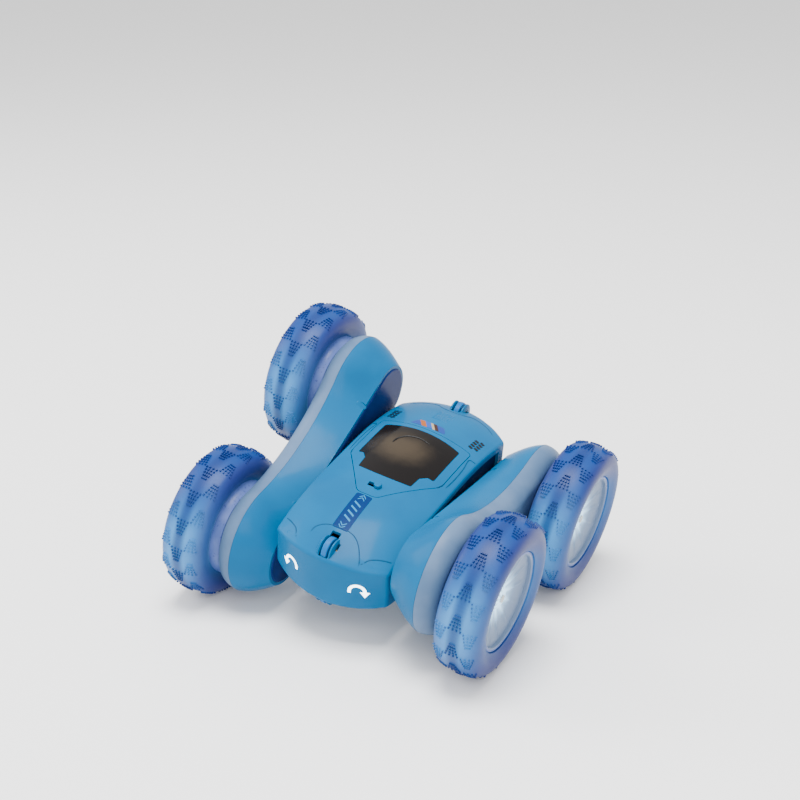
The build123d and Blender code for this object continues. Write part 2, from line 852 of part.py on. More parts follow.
def windshield_plan(grow=0.0):
    """Plan of a windshield: bowed front and rear, with a notch beside each front corner."""
    front_half = windshield_half * windshield_front_share
    notch = windshield_front + notch_up
    with BuildSketch() as sketch:
        with BuildLine():
            ThreePointArc(
                (-windshield_half, windshield_rear),
                (0, windshield_rear + windshield_bow),
                (windshield_half, windshield_rear),
            )
            for x in (-1, 1):
                Polyline(
                    (x * windshield_half, windshield_rear),
                    (x * windshield_half, notch + notch_length),
                    (x * (windshield_half - notch_depth), notch + notch_length - notch_slope),
                    (x * (front_half + notch_lip), notch),
                    (x * front_half, windshield_front),
                )
            ThreePointArc(
                (-front_half, windshield_front),
                (0, windshield_front - windshield_bow),
                (front_half, windshield_front),
            )
        make_face()
        fillet(sketch.vertices(), windshield_fillet)
        offset(amount=grow)
    return sketch.sketch


def lens():
    """A smoked lens for the upper roof, with a bonding flange under its edge."""
    flange_top = wall + seam
    flange_bottom = flange_top + lens_flange_thickness
    with BuildPart() as solid:
        add(prism(windshield_plan()))
        add(prism(windshield_plan(lens_flange)) & roof_space(flange_top))
        add(roof_space(), mode=Mode.INTERSECT)
        add(roof_space(flange_bottom), mode=Mode.SUBTRACT)
        add(prism(windshield_plan(-lens_flange)) & roof_space(wall), mode=Mode.SUBTRACT)
    return solid.part


def lamp_plane(x, back):
    """Plane on the nose at a lamp, facing out, set back from the nose's surface."""
    bow = nose_reach - nose_corner_at
    nose_radius = (body_half**2 + bow**2) / (2 * bow)
    turn = x * lamp_across / nose_radius
    radius = nose_radius - back
    return in_body(
        Plane(
            origin=(radius * sin(turn), nose_radius - nose_reach - radius * cos(turn), 0),
            x_dir=(cos(turn), sin(turn), 0),
            z_dir=(sin(turn), -cos(turn), 0),
        )
    )


def lamp_space(grow):
    """The two curved arrows of the nose, through its wall."""
    with BuildPart() as arrows:
        for x in (-1, 1):
            with BuildSketch(mode=Mode.PRIVATE) as stroke:
                Circle(lamp_ring + lamp_stroke / 2 + grow)
                Circle(lamp_ring - lamp_stroke / 2 - grow, mode=Mode.SUBTRACT)
                with Locations((0, -lamp_cut - grow)):
                    Rectangle(
                        3 * lamp_ring, 3 * lamp_ring, align=(Align.CENTER, Align.MIN),
                        mode=Mode.INTERSECT,
                    )
            with BuildSketch(mode=Mode.PRIVATE) as head:
                half, base, tip = lamp_head
                Polygon(
                    (x * (lamp_ring - half), base),
                    (x * (lamp_ring + half), base),
                    (x * lamp_ring, -tip),
                    align=None,
                )
                offset(amount=grow)
            with BuildSketch(lamp_plane(x, wall + lamp_root)):
                with Locations((0, lamp_down)):
                    add(stroke.sketch)
                    add(head.sketch)
            extrude(amount=2 * wall + lamp_root)
        with BuildSketch(in_body(Plane.XY.offset(-2 * lamp_ring))):
            add(plan_outline(0))
            make_face()
        extrude(amount=4 * lamp_ring, mode=Mode.INTERSECT)
    return arrows.part


def lamp_discs():
    """Round plugs through the nose wall, filled to the middle of each arrow's stroke."""
    with BuildPart() as discs:
        for x in (-1, 1):
            with BuildSketch(lamp_plane(x, wall + lamp_root)):
                with Locations((0, lamp_down)):
                    Circle(lamp_ring)
            extrude(amount=2 * wall + lamp_root)
    return discs.part


battery_front = battery_middle - battery_size[1] / 2
battery_rear = battery_middle + battery_size[1] / 2
tray_half = battery_size[0] / 2 + clear + tray_wall
tray_front = battery_front - clear - tray_wall
tray_rear = battery_rear + clear + tray_wall
tray_posts = [(x * tray_posts_at[0], y) for x in (-1, 1) for y in tray_posts_at[1]]
switch_at = (-8.0, board_middle - 5)
socket_at = (9.0, board_middle - 2)
upper_half = half_shell()
skin_layer = roof_space() - roof_space(wall)
lamp_islands = upper_half & lamp_discs()  # tongues of the lower shell inside the arrows

# upper shell: hatch opening with its ledge, lamp openings, screw pilots
ledge_under = wall + clear + ledge_thickness
with BuildPart() as ledge:
    add(prism(hatch_plan(ledge_width), low=0))
    add(prism(hatch_plan(-ledge_width), low=0), mode=Mode.SUBTRACT)
    add(roof_space(wall + clear), mode=Mode.INTERSECT)
    add(roof_space(ledge_under), mode=Mode.SUBTRACT)

with BuildPart() as ledge_root:
    add(prism(hatch_plan(ledge_width), low=0))
    add(prism(hatch_plan(), low=0), mode=Mode.SUBTRACT)
    add(roof_space(wall / 2), mode=Mode.INTERSECT)
    add(roof_space(ledge_under), mode=Mode.SUBTRACT)

with BuildPart() as body_top_shell:
    add(upper_half)
    add(prism(hatch_plan(), low=0), mode=Mode.SUBTRACT)
    add(ledge.part)
    add(ledge_root.part)
    add(lamp_space(seam), mode=Mode.SUBTRACT)
    add(lamp_discs(), mode=Mode.SUBTRACT)
    with BuildSketch(in_body(Plane.XY)):
        with Locations(*post_places):
            Circle(screw_radius + pin_fit)
    extrude(amount=screw_pilot, mode=Mode.SUBTRACT)
keep(body_top_shell, "body_top_shell")

# lower shell: the same skin turned over, with the posts that carry what is inside
board_posts = [
    (x * (board_half[0] - board_post_in), board_middle + y * (board_half[1] - board_post_in))
    for x in (-1, 1)
    for y in (-1, 1)
]
cradle_ribs = [(x * at, -swing_centres - cradle_in) for x in (-1, 1) for at in cradle_at]
with BuildPart() as lower_works:
    with BuildSketch(in_body(Plane.XY.offset(tray_floor_up - seam))):
        with Locations(*tray_posts):
            Circle(tray_post_radius)
    extrude(amount=-body_height - tray_floor_up)
    with BuildSketch(in_body(Plane.XY.offset(-board_down - seam))):
        with Locations(*board_posts):
            Circle(board_post_radius)
    extrude(amount=-body_height)
    with BuildSketch(in_body(Plane.XY.offset(-motor_flat - seam))):
        with Locations(*cradle_ribs):
            Rectangle(*cradle_rib)
    extrude(amount=-body_height)
    with BuildSketch(in_body(Plane.XY.offset(-lamp_rib_down - seam))):
        with Locations((-lamp_rib_at, -lamp_board_at), (lamp_rib_at, -lamp_board_at)):
            Rectangle(*lamp_rib)
    extrude(amount=-body_height)

with BuildPart() as below_roof:
    with BuildSketch(in_body(Plane.XY)):
        Rectangle(3 * body_half, 3 * nose_reach)
    extrude(amount=-2 * body_height)
    add(flipped(roof_space(wall / 2)), mode=Mode.SUBTRACT)

with BuildPart() as kept_works:
    add(lower_works.part)
    with BuildSketch(in_body(Plane.XY.offset(tray_floor_up))):
        add(plan_outline(wall / 2))
        make_face()
    extrude(amount=-tray_floor_up - body_height, mode=Mode.INTERSECT)
    add(below_roof.part, mode=Mode.SUBTRACT)

with BuildPart() as body_bottom_shell:
    add(flipped(upper_half))
    add(kept_works.part)
    add(prism(windshield_plan(seam), high=0), mode=Mode.SUBTRACT)
    add(lamp_islands)
    add(lamp_space(seam), mode=Mode.SUBTRACT)
    with BuildSketch(in_body(Plane.XY)):
        with Locations(*post_places):
            Circle(screw_radius + clear / 2)
    extrude(amount=-2 * body_height, mode=Mode.SUBTRACT)
    with BuildSketch(in_body(Plane.XY.offset(-screw_seat))):
        with Locations(*post_places):
            Circle(screw_head_radius + clear)
    extrude(amount=-body_height, mode=Mode.SUBTRACT)
    with BuildSketch(in_body(Plane.XY.offset(-board_down - opening_depth))):
        with Locations(socket_at):
            Circle(socket_radius + seam)
        with Locations(switch_at):
            Rectangle(
                switch_button[0] + switch_travel + 2 * clear, switch_button[1] + 2 * clear
            )
    extrude(amount=-body_height, mode=Mode.SUBTRACT)
keep(body_bottom_shell, "body_bottom_shell")

# hatch cover: the skin inside the hatch line, with windshield opening and latch slot
with BuildPart() as hatch_cover:
    add(skin_layer)
    add(prism(hatch_plan(-clear), low=0), mode=Mode.INTERSECT)
    add(prism(windshield_plan(seam), low=0), mode=Mode.SUBTRACT)
    with BuildSketch(in_body(Plane.XY)):
        with Locations((latch_at[0] - latch_travel / 2, latch_at[1])):
            Rectangle(latch_travel + latch_stem + 2 * clear, latch_stem + 2 * clear)
    extrude(amount=2 * body_height, mode=Mode.SUBTRACT)
keep(hatch_cover, "hatch_cover")

with BuildPart() as windshield:
    add(lens())
keep(windshield, "windshield")

with BuildPart() as belly_windshield:
    add(flipped(lens()))
keep(belly_windshield, "belly_windshield")

# latch: knob over the slot, stem through it, slider under the hatch and its ledge
latch_roof = roof_height(latch_at[1])
slider_reach = latch_travel - latch_slider[0]
slider_top = latch_roof - arch_drop(slider_reach) - wall - clear - ledge_thickness - clear
with BuildPart() as hatch_latch:
    with BuildSketch(in_body(Plane.XY.offset(latch_roof + clear))):
        with Locations(latch_at):
            Circle(latch_knob_radius)
    extrude(amount=latch_knob_rise)
    fillet(hatch_latch.faces().sort_by(body_up)[-1].edges(), latch_knob_rise * latch_knob_round)
    with BuildSketch(in_body(Plane.XY.offset(slider_top))):
        with Locations(latch_at):
            Rectangle(latch_stem, latch_stem)
    extrude(amount=latch_roof + clear - slider_top)
    with BuildSketch(in_body(Plane.XY.offset(slider_top))):
        with Locations((sum(latch_slider) / 2, latch_at[1])):
            Rectangle(latch_slider[1] - latch_slider[0], latch_slider_width)
    extrude(amount=-latch_slider_thickness)
keep(hatch_latch, "hatch_latch")

# dark side panels behind the shells' windows, each with its pivot collar
for side, frame in body_sides.items():
    facing = 1 if side == "left" else -1
    top = [(facing * y, z + wall) for y, z in window_top(window_border, grow=wall)]
    bottom = [(y, -z) for y, z in top]
    with BuildPart() as side_plate:
        with BuildSketch(across(frame, side_plate_in)):
            with BuildLine():
                Spline(*top)
                Line(top[-1], bottom[-1])
                Spline(*bottom)
                Line(bottom[0], top[0])
            make_face()
        extrude(amount=side_plate_thickness)
        with BuildSketch(across(frame, side_plate_in - collar_depth)):
            Circle(collar_radius)
        extrude(amount=collar_out - side_plate_in + collar_depth)
        with BuildSketch(across(frame, side_plate_in - collar_depth)):
            Circle(tube_radius + running)
        extrude(amount=collar_out - side_plate_in + collar_depth, mode=Mode.SUBTRACT)
    keep(side_plate, f"{side}_side_plate")

    # swing motor beside the tube's gear, and its pinion
    motor_at = -facing * swing_centres
    motor_face = swing_gear_in - motor_away
    with BuildPart() as swing_motor:
        with BuildSketch(across(frame, motor_face - swing_motor_length, motor_at)):
            Circle(motor_radius)
            Rectangle(2 * motor_radius, 2 * motor_flat, mode=Mode.INTERSECT)
        extrude(amount=swing_motor_length)
        with BuildSketch(across(frame, motor_face, motor_at)):
            Circle(motor_boss)
        extrude(amount=motor_boss_rise)
        with BuildSketch(across(frame, motor_face - swing_motor_bore, motor_at)):
            Circle(motor_shaft + running)
        extrude(amount=2 * swing_motor_bore, mode=Mode.SUBTRACT)
    keep(swing_motor, f"{side}_swing_motor")

    with BuildPart() as swing_pinion:
        with BuildSketch(across(frame, swing_gear_in, motor_at)):
            add(gear_outline(pinion_teeth, tooth_on_axis=False))
            make_face()
        extrude(amount=swing_gear_width)
        with BuildSketch(across(frame, motor_face - swing_motor_bore + seam, motor_at)):
            Circle(motor_shaft)
        extrude(amount=swing_gear_out - motor_face + swing_motor_bore - seam)
    keep(swing_pinion, f"{side}_swing_pinion")

# rollers of nose and tail, above and below, and their pins
with BuildPart() as roller_pins:
    for along, up in rollers.values():
        for level in (-up, up):
            with BuildSketch(across(body_frame, -slot_half - roller_ear, along, level)):
                Circle(roller_pin)
            extrude(amount=2 * (slot_half + roller_ear))
            with BuildSketch(across(body_frame, slot_half + roller_ear, along, level)):
                Circle(pin_head_radius)
            extrude(amount=pin_head)
keep(roller_pins, "roller_pins")

for end, (along, up) in rollers.items():
    for level_name, level in (("top", up), ("bottom", -up)):
        with BuildPart() as roller:
            with BuildSketch(across(body_frame, -roller_width / 2, along, level)):
                Circle(roller_radius)
            extrude(amount=roller_width)
            fillet(roller.edges(), roller_width * 0.25)
            with BuildSketch(across(body_frame, -roller_width / 2, along, level)):
                Circle(roller_pin + running)
            extrude(amount=roller_width, mode=Mode.SUBTRACT)
        keep(roller, f"{end}_{level_name}_roller")

# arrow lamps in the nose and the board that lights them
with BuildPart() as arrow_lamps:
    add(lamp_space(0))
keep(arrow_lamps, "arrow_lamps")

lamp_board_out = lamp_board_at + lamp_board[2] / 2
with BuildPart() as nose_light_board:
    with BuildSketch(in_body(Plane.XZ.offset(lamp_board_at - lamp_board[2] / 2))):
        Rectangle(2 * lamp_board[0], lamp_board[1])
    extrude(amount=lamp_board[2])
    with BuildSketch(in_body(Plane.XZ.offset(lamp_board_out))):
        with Locations(*[(x * (lamp_across - lamp_chip[0]), 0) for x in (-1, 1)]):
            Circle(lamp_chip[1])
    extrude(amount=lamp_chip[2])
keep(nose_light_board, "nose_light_board")

# battery pack in its tray under the hatch
with BuildPart() as battery_tray:
    with BuildSketch(in_body(Plane.XY.offset(tray_floor_up))):
        with Locations((0, battery_middle)):
            Rectangle(2 * tray_half, tray_rear - tray_front)
        with Locations((0, sum(tray_posts_at[1]) / 2)):
            Rectangle(
                2 * (tray_posts_at[0] + tray_post_radius),
                tray_posts_at[1][1] - tray_posts_at[1][0] + 2 * tray_post_radius,
            )
    extrude(amount=tray_floor)
    with BuildSketch(in_body(Plane.XY.offset(tray_floor_up + tray_floor))):
        with Locations((0, battery_middle)):
            Rectangle(2 * tray_half, tray_rear - tray_front)
            Rectangle(
                2 * (tray_half - tray_wall), tray_rear - tray_front - 2 * tray_wall,
                mode=Mode.SUBTRACT,
            )
    extrude(amount=battery_size[2] * tray_wall_share)
keep(battery_tray, "battery_tray")

with BuildPart() as battery_pack:
    with BuildSketch(in_body(Plane.XY.offset(tray_floor_up + tray_floor + seam))):
        with Locations((0, battery_middle)):
            RectangleRounded(battery_size[0], battery_size[1], battery_corner)
    extrude(amount=battery_size[2])
keep(battery_pack, "battery_pack")

# main board with its chips and the switch's case, charging socket and switch button
with BuildPart() as main_board:
    with BuildSketch(in_body(Plane.XY.offset(-board_down))):
        with Locations((0, board_middle)):
            Rectangle(2 * board_half[0], 2 * board_half[1])
    extrude(amount=board_thickness)
    with BuildSketch(in_body(Plane.XY.offset(-board_down + board_thickness))):
        for (x, y), size in chips:
            with Locations((x, board_middle + y)):
                Rectangle(*size)
    extrude(amount=chip_height)
    with BuildSketch(in_body(Plane.XY.offset(-board_down))):
        with Locations(switch_at):
            Rectangle(*switch_case_size)
    extrude(amount=-switch_case)
keep(main_board, "main_board")

socket_down = board_down + seam + socket_length
with BuildPart() as charge_socket:
    with BuildSketch(in_body(Plane.XY.offset(-board_down - seam))):
        with Locations(socket_at):
            Circle(socket_radius)
    extrude(amount=-socket_length)
    with BuildSketch(in_body(Plane.XY.offset(-socket_down))):
        with Locations(socket_at):
            Circle(socket_bore)
    extrude(amount=socket_length - socket_wall, mode=Mode.SUBTRACT)
keep(charge_socket, "charge_socket")

button_up = -board_down - switch_case - seam
with BuildPart() as power_switch:
    with BuildSketch(in_body(Plane.XY.offset(button_up))):
        with Locations(switch_at):
            Rectangle(*switch_base[:2])
    extrude(amount=-switch_base[2])
    with BuildSketch(in_body(Plane.XY.offset(button_up - switch_base[2]))):
        with Locations((switch_at[0] - switch_travel / 2, switch_at[1])):
            Rectangle(*switch_button[:2])
    extrude(amount=-switch_button[2])
keep(power_switch, "power_switch")

# screws that hold the two shells together
with BuildPart() as body_screws:
    with BuildSketch(in_body(Plane.XY.offset(-screw_seat))):
        with Locations(*post_places):
            Circle(screw_head_radius)
    extrude(amount=-screw_head)
    with BuildSketch(in_body(Plane.XY.offset(-screw_seat))):
        with Locations(*post_places):
            Circle(screw_radius)
    extrude(amount=screw_seat + screw_thread)
keep(body_screws, "body_screws")
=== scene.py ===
"""Double-sided swing-arm stunt car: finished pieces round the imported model.

Sizes in a section are millimetres in that piece's own frame, and each mesh is placed in metres.
"""

import json

import bpy
import numpy as np
from mathutils import Matrix
from mathutils.bvhtree import BVHTree


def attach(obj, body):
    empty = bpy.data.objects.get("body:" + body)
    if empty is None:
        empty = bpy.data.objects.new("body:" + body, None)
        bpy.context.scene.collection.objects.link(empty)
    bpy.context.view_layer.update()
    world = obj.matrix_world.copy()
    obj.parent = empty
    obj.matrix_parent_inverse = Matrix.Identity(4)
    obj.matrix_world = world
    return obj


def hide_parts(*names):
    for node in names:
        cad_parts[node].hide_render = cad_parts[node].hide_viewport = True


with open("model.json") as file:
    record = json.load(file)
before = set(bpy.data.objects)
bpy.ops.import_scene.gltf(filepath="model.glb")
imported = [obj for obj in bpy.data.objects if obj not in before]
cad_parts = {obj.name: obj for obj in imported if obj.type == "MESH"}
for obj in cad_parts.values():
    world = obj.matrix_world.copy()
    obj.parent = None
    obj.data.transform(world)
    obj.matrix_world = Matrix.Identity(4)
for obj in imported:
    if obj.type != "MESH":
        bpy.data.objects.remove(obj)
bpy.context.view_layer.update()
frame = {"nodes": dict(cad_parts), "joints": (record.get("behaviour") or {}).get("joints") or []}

# --- The stand -----------------------------------------------------------------------------
# A plain white sweep with large soft lamps round it, and the viewpoint: a little above the
# car, off its left front corner. None of it belongs to the car.
view_from = (0.32709, -0.60239, 0.36174)
view_turn = 0.49177  # about +Z, from looking along +Y
view_drop = 0.35668  # looking down
lens_ratio = 1.81598  # focal length over film width
film_width = 36.0
near_clip = 0.01
lamps_aim = (0, 0, 0.05)
sky_light = 1.3
sweep_reach = 8.0
MM = 0.001  # a millimetre in metres


def axes_matrix(origin, right, up, back):
    """A frame as a 4 x 4 matrix, its columns being three unit vectors and a place."""
    columns = [np.append(right, 0), np.append(up, 0), np.append(back, 0), np.append(origin, 1)]
    return Matrix(np.array(columns, float).T.tolist())


camera = bpy.data.objects.new("camera", bpy.data.cameras.new("camera"))
bpy.context.scene.collection.objects.link(camera)
bpy.context.scene.camera = camera
camera.data.sensor_width = film_width
camera.data.lens = film_width * lens_ratio
camera.data.clip_start = near_clip
view_right = np.array([np.cos(view_turn), np.sin(view_turn), 0])
view_back = np.array([
    np.sin(view_turn) * np.cos(view_drop),
    -np.cos(view_turn) * np.cos(view_drop),
    np.sin(view_drop),
])
camera.matrix_world = axes_matrix(view_from, view_right, np.cross(view_back, view_right), view_back)


def soft_lamp(name, place, size, watts):
    """A square white area lamp at a place, facing the car."""
    lamp = bpy.data.objects.new(name, bpy.data.lights.new(name, "AREA"))
    lamp.data.shape = "SQUARE"
    lamp.data.size = size
    lamp.data.energy = watts
    back = np.array(place, float) - lamps_aim
    back /= np.linalg.norm(back)
    right = np.cross((0, 0.01, 1), back)
    right /= np.linalg.norm(right)
    lamp.matrix_world = axes_matrix(place, right, np.cross(back, right), back)
    bpy.context.scene.collection.objects.link(lamp)


soft_lamp("top_lamp", (0.1, -0.25, 1.8), 0.9, 62)
soft_lamp("left_lamp", (-1.2, -0.3, 0.9), 0.8, 14)
soft_lamp("front_lamp", (0.8, -1.3, 1.0), 0.9, 14)

world = bpy.data.worlds.new("studio")
world.use_nodes = True
world.node_tree.nodes["Background"].inputs["Color"].default_value = (1, 1, 1, 1)
world.node_tree.nodes["Background"].inputs["Strength"].default_value = sky_light
bpy.context.scene.world = world

sweep_mesh = bpy.data.meshes.new("sweep")
sweep_square = [(-1, -1), (1, -1), (1, 1), (-1, 1)]
sweep_corners = [(x * sweep_reach, y * sweep_reach, 0) for x, y in sweep_square]
sweep_mesh.from_pydata(sweep_corners, [], [(0, 1, 2, 3)])
sweep = bpy.data.objects.new("sweep", sweep_mesh)
bpy.context.scene.collection.objects.link(sweep)


class Signal:
    """A node's output socket; arithmetic on it adds Math nodes to its own finish."""

    def __init__(self, finish, socket):
        self.finish = finish
        self.socket = socket

    def maths(self, operation, *values):
        """The result of a Math node on these values or signals."""
        return self.finish.add("ShaderNodeMath", {"operation": operation}, list(values))

    def __add__(self, other):
        return self.maths("ADD", self, other)

    __radd__ = __add__

    def __sub__(self, other):
        return self.maths("SUBTRACT", self, other)

    def __rsub__(self, other):
        return self.maths("SUBTRACT", other, self)

    def __mul__(self, other):
        return self.maths("MULTIPLY", self, other)

    __rmul__ = __mul__

    def __truediv__(self, other):
        return self.maths("DIVIDE", self, other)

    def __rtruediv__(self, other):
        return self.maths("DIVIDE", other, self)

    def __pow__(self, other):
        return self.maths("POWER", self, other)

    def __abs__(self):
        return self.maths("ABSOLUTE", self)

    def ramp(self, low, high, at_low=0.0, at_high=1.0):
        """A smooth step: at_low below low, at_high above high."""
        return self.finish.add(
            "ShaderNodeMapRange",
            {"interpolation_type": "SMOOTHSTEP"},
            {0: self, 1: low, 2: high, 3: at_low, 4: at_high},
        )


class Finish:
    """A material: all its nodes come from add, and set joins them to its shader."""

    def __init__(self, name, colour=None, **constants):
        self.material = bpy.data.materials.new(name)
        self.material.use_nodes = True
        self.tree = self.material.node_tree
        self.shader = self.tree.nodes["Principled BSDF"]
        if colour is not None:
            constants["Base Color"] = (*colour, 1)
        for socket, value in constants.items():
            self.shader.inputs[socket.replace("_", " ")].default_value = value

    def add(self, kind, settings=None, inputs=None, output=0):
        """A node of this kind: its settings first, then values or signals for its sockets."""
        node = self.tree.nodes.new(kind)
        for key, value in (settings or {}).items():
            setattr(node, key, value)
        pairs = inputs.items() if isinstance(inputs, dict) else enumerate(inputs or [])
        for key, value in pairs:
            if isinstance(value, Signal):
                self.tree.links.new(value.socket, node.inputs[key])
            else:
                node.inputs[key].default_value = value
        return Signal(self, node.outputs[output])

    def place(self):
        """The point on the piece, in the car's own frame, in millimetres."""
        here = self.add("ShaderNodeTexCoord", output="Object")
        return self.add("ShaderNodeVectorMath", {"operation": "SCALE"}, {0: here, 3: 1 / MM})

    def along(self, point, origin, direction):
        """How far a point lies from an origin along a direction, both in millimetres."""
        vector, dot = "ShaderNodeVectorMath", {"operation": "DOT_PRODUCT"}
        away = self.add(vector, {"operation": "SUBTRACT"}, {0: point, 1: tuple(origin)})
        return self.add(vector, dot, {0: away, 1: tuple(direction)}, "Value")

    def noise(self, point, scale, detail=2.0, roughness=0.5):
        """Cloudy noise between 0 and 1, scale being its lumps per millimetre."""
        return self.add(
            "ShaderNodeTexNoise",
            {},
            {"Vector": point, "Scale": scale, "Detail": detail, "Roughness": roughness},
        )

    def mix(self, share, one, other):
        """One colour where share is 0, the other where it is 1."""
        colours = [c if isinstance(c, Signal) else (*c, 1) for c in (one, other)]
        return self.add(
            "ShaderNodeMix", {"data_type": "RGBA"}, {0: share, 6: colours[0], 7: colours[1]}, 2
        )

    def bump(self, height, depth):
        """A normal from a height of 0 to 1, depth being millimetres."""
        return self.add(
            "ShaderNodeBump", {}, {"Strength": 1.0, "Distance": depth * MM, "Height": height}
        )

    def set(self, **signals):
        """Joins signals to the shader's sockets."""
        for socket, signal in signals.items():
            self.tree.links.new(signal.socket, self.shader.inputs[socket.replace("_", " ")])
        return self.material


paper = Finish("white_sweep", (0.9, 0.9, 0.9), Roughness=0.6)
sweep_mesh.materials.append(paper.material)

# --- Arm shells ----------------------------------------------------------------------------
# A flared, glossy cyan ABS moulding on each side of the body. It starts narrow round the
# arm's inner plate and swells to two round lobes, where the outer shell closes it.
joints = {joint["name"]: joint for joint in frame["joints"]}
pivot = np.array(joints["left_arm_swing"]["pos_m"]) / MM
pivot_axis = np.array(joints["left_arm_swing"]["axis"])


def cyan_plastic(name):
    """Glossy cyan ABS: faint colour drift, with a fine moulded ripple under the gloss."""
    cyan = Finish(name, Coat_Weight=0.05, Coat_Roughness=0.12, Specular_IOR_Level=0.04)
    point = cyan.place()
    cloud = cyan.noise(point, 0.03, 3)
    grain = cyan.noise(point, 2.2, 4, 0.6)
    colour = cyan.mix(cloud.ramp(0.35, 0.7), (0.0, 0.100, 0.240), (0.0, 0.086, 0.212))
    return cyan.set(
        Base_Color=colour, Roughness=0.24 + grain * 0.09, Normal=cyan.bump(grain, 0.006)
    )


def dress(material, *nodes):
    """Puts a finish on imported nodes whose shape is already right."""
    for node in nodes:
        for slot in frame["nodes"][node].material_slots:
            slot.material = material


sides = {"left": 1, "right": -1}
cyan = cyan_plastic("cyan_plastic")
dress(cyan, *[f"{side}_arm_shell" for side in sides])

# --- Outer shells --------------------------------------------------------------------------
# The arm's outer half: a shallow dome of frosted, greyish clear plastic. It is screwed to the
# arm shell edge to edge, and what is behind it shows only as a faint change of grey.
frosted = Finish("frosted_plastic", Specular_IOR_Level=0.1)
point = frosted.place()
cloud = frosted.noise(point, 0.05, 3)
grain = frosted.noise(point, 3.0, 4, 0.6)
milk = frosted.mix(cloud.ramp(0.35, 0.7), (0.090, 0.150, 0.250), (0.065, 0.120, 0.215))
frosted.set(Base_Color=milk, Roughness=0.3 + grain * 0.12, Normal=frosted.bump(grain, 0.008))
dress(frosted.material, *[f"{side}_outer_shell" for side in sides])

# --- Inner plates and pivot collars --------------------------------------------------------
# Flat, glossy navy plates that close the arms towards the body; the hollow pivot shafts pass
# through them into dark, finely textured bearings in the body's sides.
navy = Finish("navy_plastic", Specular_IOR_Level=0.04)
point = navy.place()
grain = navy.noise(point, 2.5, 4, 0.6)
cloud = navy.noise(point, 0.06, 2)
deep = navy.mix(cloud.ramp(0.3, 0.7), (0.002, 0.012, 0.075), (0.004, 0.018, 0.10))
navy.set(Base_Color=deep, Roughness=0.2 + grain * 0.08, Normal=navy.bump(grain, 0.005))
dress(navy.material, *[f"{side}_inner_plate" for side in sides])

panel = Finish("dark_panel_plastic", Specular_IOR_Level=0.06)
point = panel.place()
spark = panel.noise(point, 5.0, 3, 0.7)
soot = panel.mix(spark, (0.001, 0.012, 0.060), (0.003, 0.020, 0.085))
panel.set(Base_Color=soot, Roughness=0.5 + spark * 0.2, Normal=panel.bump(spark, 0.02))
for side in sides:
    dress(panel.material, f"{side}_side_plate", f"{side}_pivot_shaft")

# --- Tyres ---------------------------------------------------------------------------------
# Soft, hollow, translucent blue tyres; the light of the lamp inside is painted in as a glow.
# Each tread carries three staggered columns of wedge-shaped clusters of tiny square nubs,
# moulded with the tyre.
wheel_names = [f"{side}_{end}" for side in sides for end in ("front", "rear")]
tread_radius = 39.2
nub_height = 0.8
crown_radius = 26.0
crown_half = 8.5
tyre_half = 12.2
widest_radius = 31.6
bead_half = 10.2
bead_radius = 25.5
tyre_wall = 2.2
tyre_mid = 77.95  # from the car's middle, along the pivot axis
shoulder_pull = 9.0  # lengths of the section's end slopes
widest_pull = (0.0, -6.0)
bead_pull = (-2.6, -5.0)
clusters = 16  # round each column
column_at = 7.5
cluster_lead = 5.6  # degrees from a cluster's middle to the wheel's lowest point
nub_rows = 5
nub_lines = 4
nub_spread = (0.75, 1.95)  # between lines, at a cluster's narrow end and at its broad one
nub_pitch = 1.75  # between rows
nub_foot = 0.46  # half width
nub_tip = 0.30
nub_stretch = 1.15  # of its length over its width
nub_root = 0.25  # sunk in the tread


class Seat:
    """A piece's own frame: an origin, and X, Y and their cross product Z; millimetres."""

    def __init__(self, origin, x, y):
        self.origin = np.array(origin, float)
        self.axes = np.array([x, y, np.cross(x, y)], float)

    def put(self, points):
        """Points of this frame in the car's frame, in metres: origin plus each axis's share."""
        return (self.origin + np.asarray(points, float) @ self.axes) * MM

    def at(self, offset):
        """The same frame with its origin at a point of this one."""
        return Seat(self.put(offset) / MM, self.axes[0], self.axes[1])


def axle_place(wheel):
    """Where a wheel's axle crosses the car's middle plane, in millimetres."""
    return np.array(joints[f"{wheel}_wheel_spin"]["pos_m"]) / MM


arm_seats = {}
for side, facing in sides.items():
    backward = axle_place(f"{side}_rear") - axle_place(f"{side}_front")
    backward /= np.linalg.norm(backward)
    arm_seats[side] = Seat(pivot, facing * pivot_axis, facing * backward)
wheel_seats = {}
for wheel in wheel_names:
    arm_axes = arm_seats[wheel.split("_")[0]].axes
    wheel_seats[wheel] = Seat(axle_place(wheel), arm_axes[0], arm_axes[1]).at((tyre_mid, 0, 0))


def outward(points, faces):
    """The faces, turned over if their volume, a sum of corner products, is negative."""
    first = points[faces[:, 0]]
    volume = 0.0
    for corner in range(1, faces.shape[1] - 1):
        second, third = points[faces[:, corner]], points[faces[:, corner + 1]]
        volume += np.einsum("ij,ij->", first, np.cross(second, third))
    return faces if volume > 0 else faces[:, ::-1]


def piece_from(name, parts, seat, smooth_angle=40):
    """A piece made of parts, each a pair of points and faces, placed by a seat."""
    points = np.concatenate([part_points for part_points, _ in parts])
    starts = np.cumsum([0] + [len(part_points) for part_points, _ in parts])
    faces = np.concatenate([outward(p, f) + start for (p, f), start in zip(parts, starts)])
    mesh = bpy.data.meshes.new(name)
    mesh.vertices.add(len(points))
    mesh.vertices.foreach_set("co", seat.put(points).ravel())
    mesh.loops.add(faces.size)
    mesh.loops.foreach_set("vertex_index", faces.ravel())
    mesh.polygons.add(len(faces))
    mesh.polygons.foreach_set("loop_start", np.arange(0, faces.size, faces.shape[1]))
    mesh.update(calc_edges=True)
    mesh.shade_smooth()
    mesh.set_sharp_from_angle(angle=np.radians(smooth_angle))
    piece = bpy.data.objects.new(name, mesh)
    bpy.context.scene.collection.objects.link(piece)
    return piece


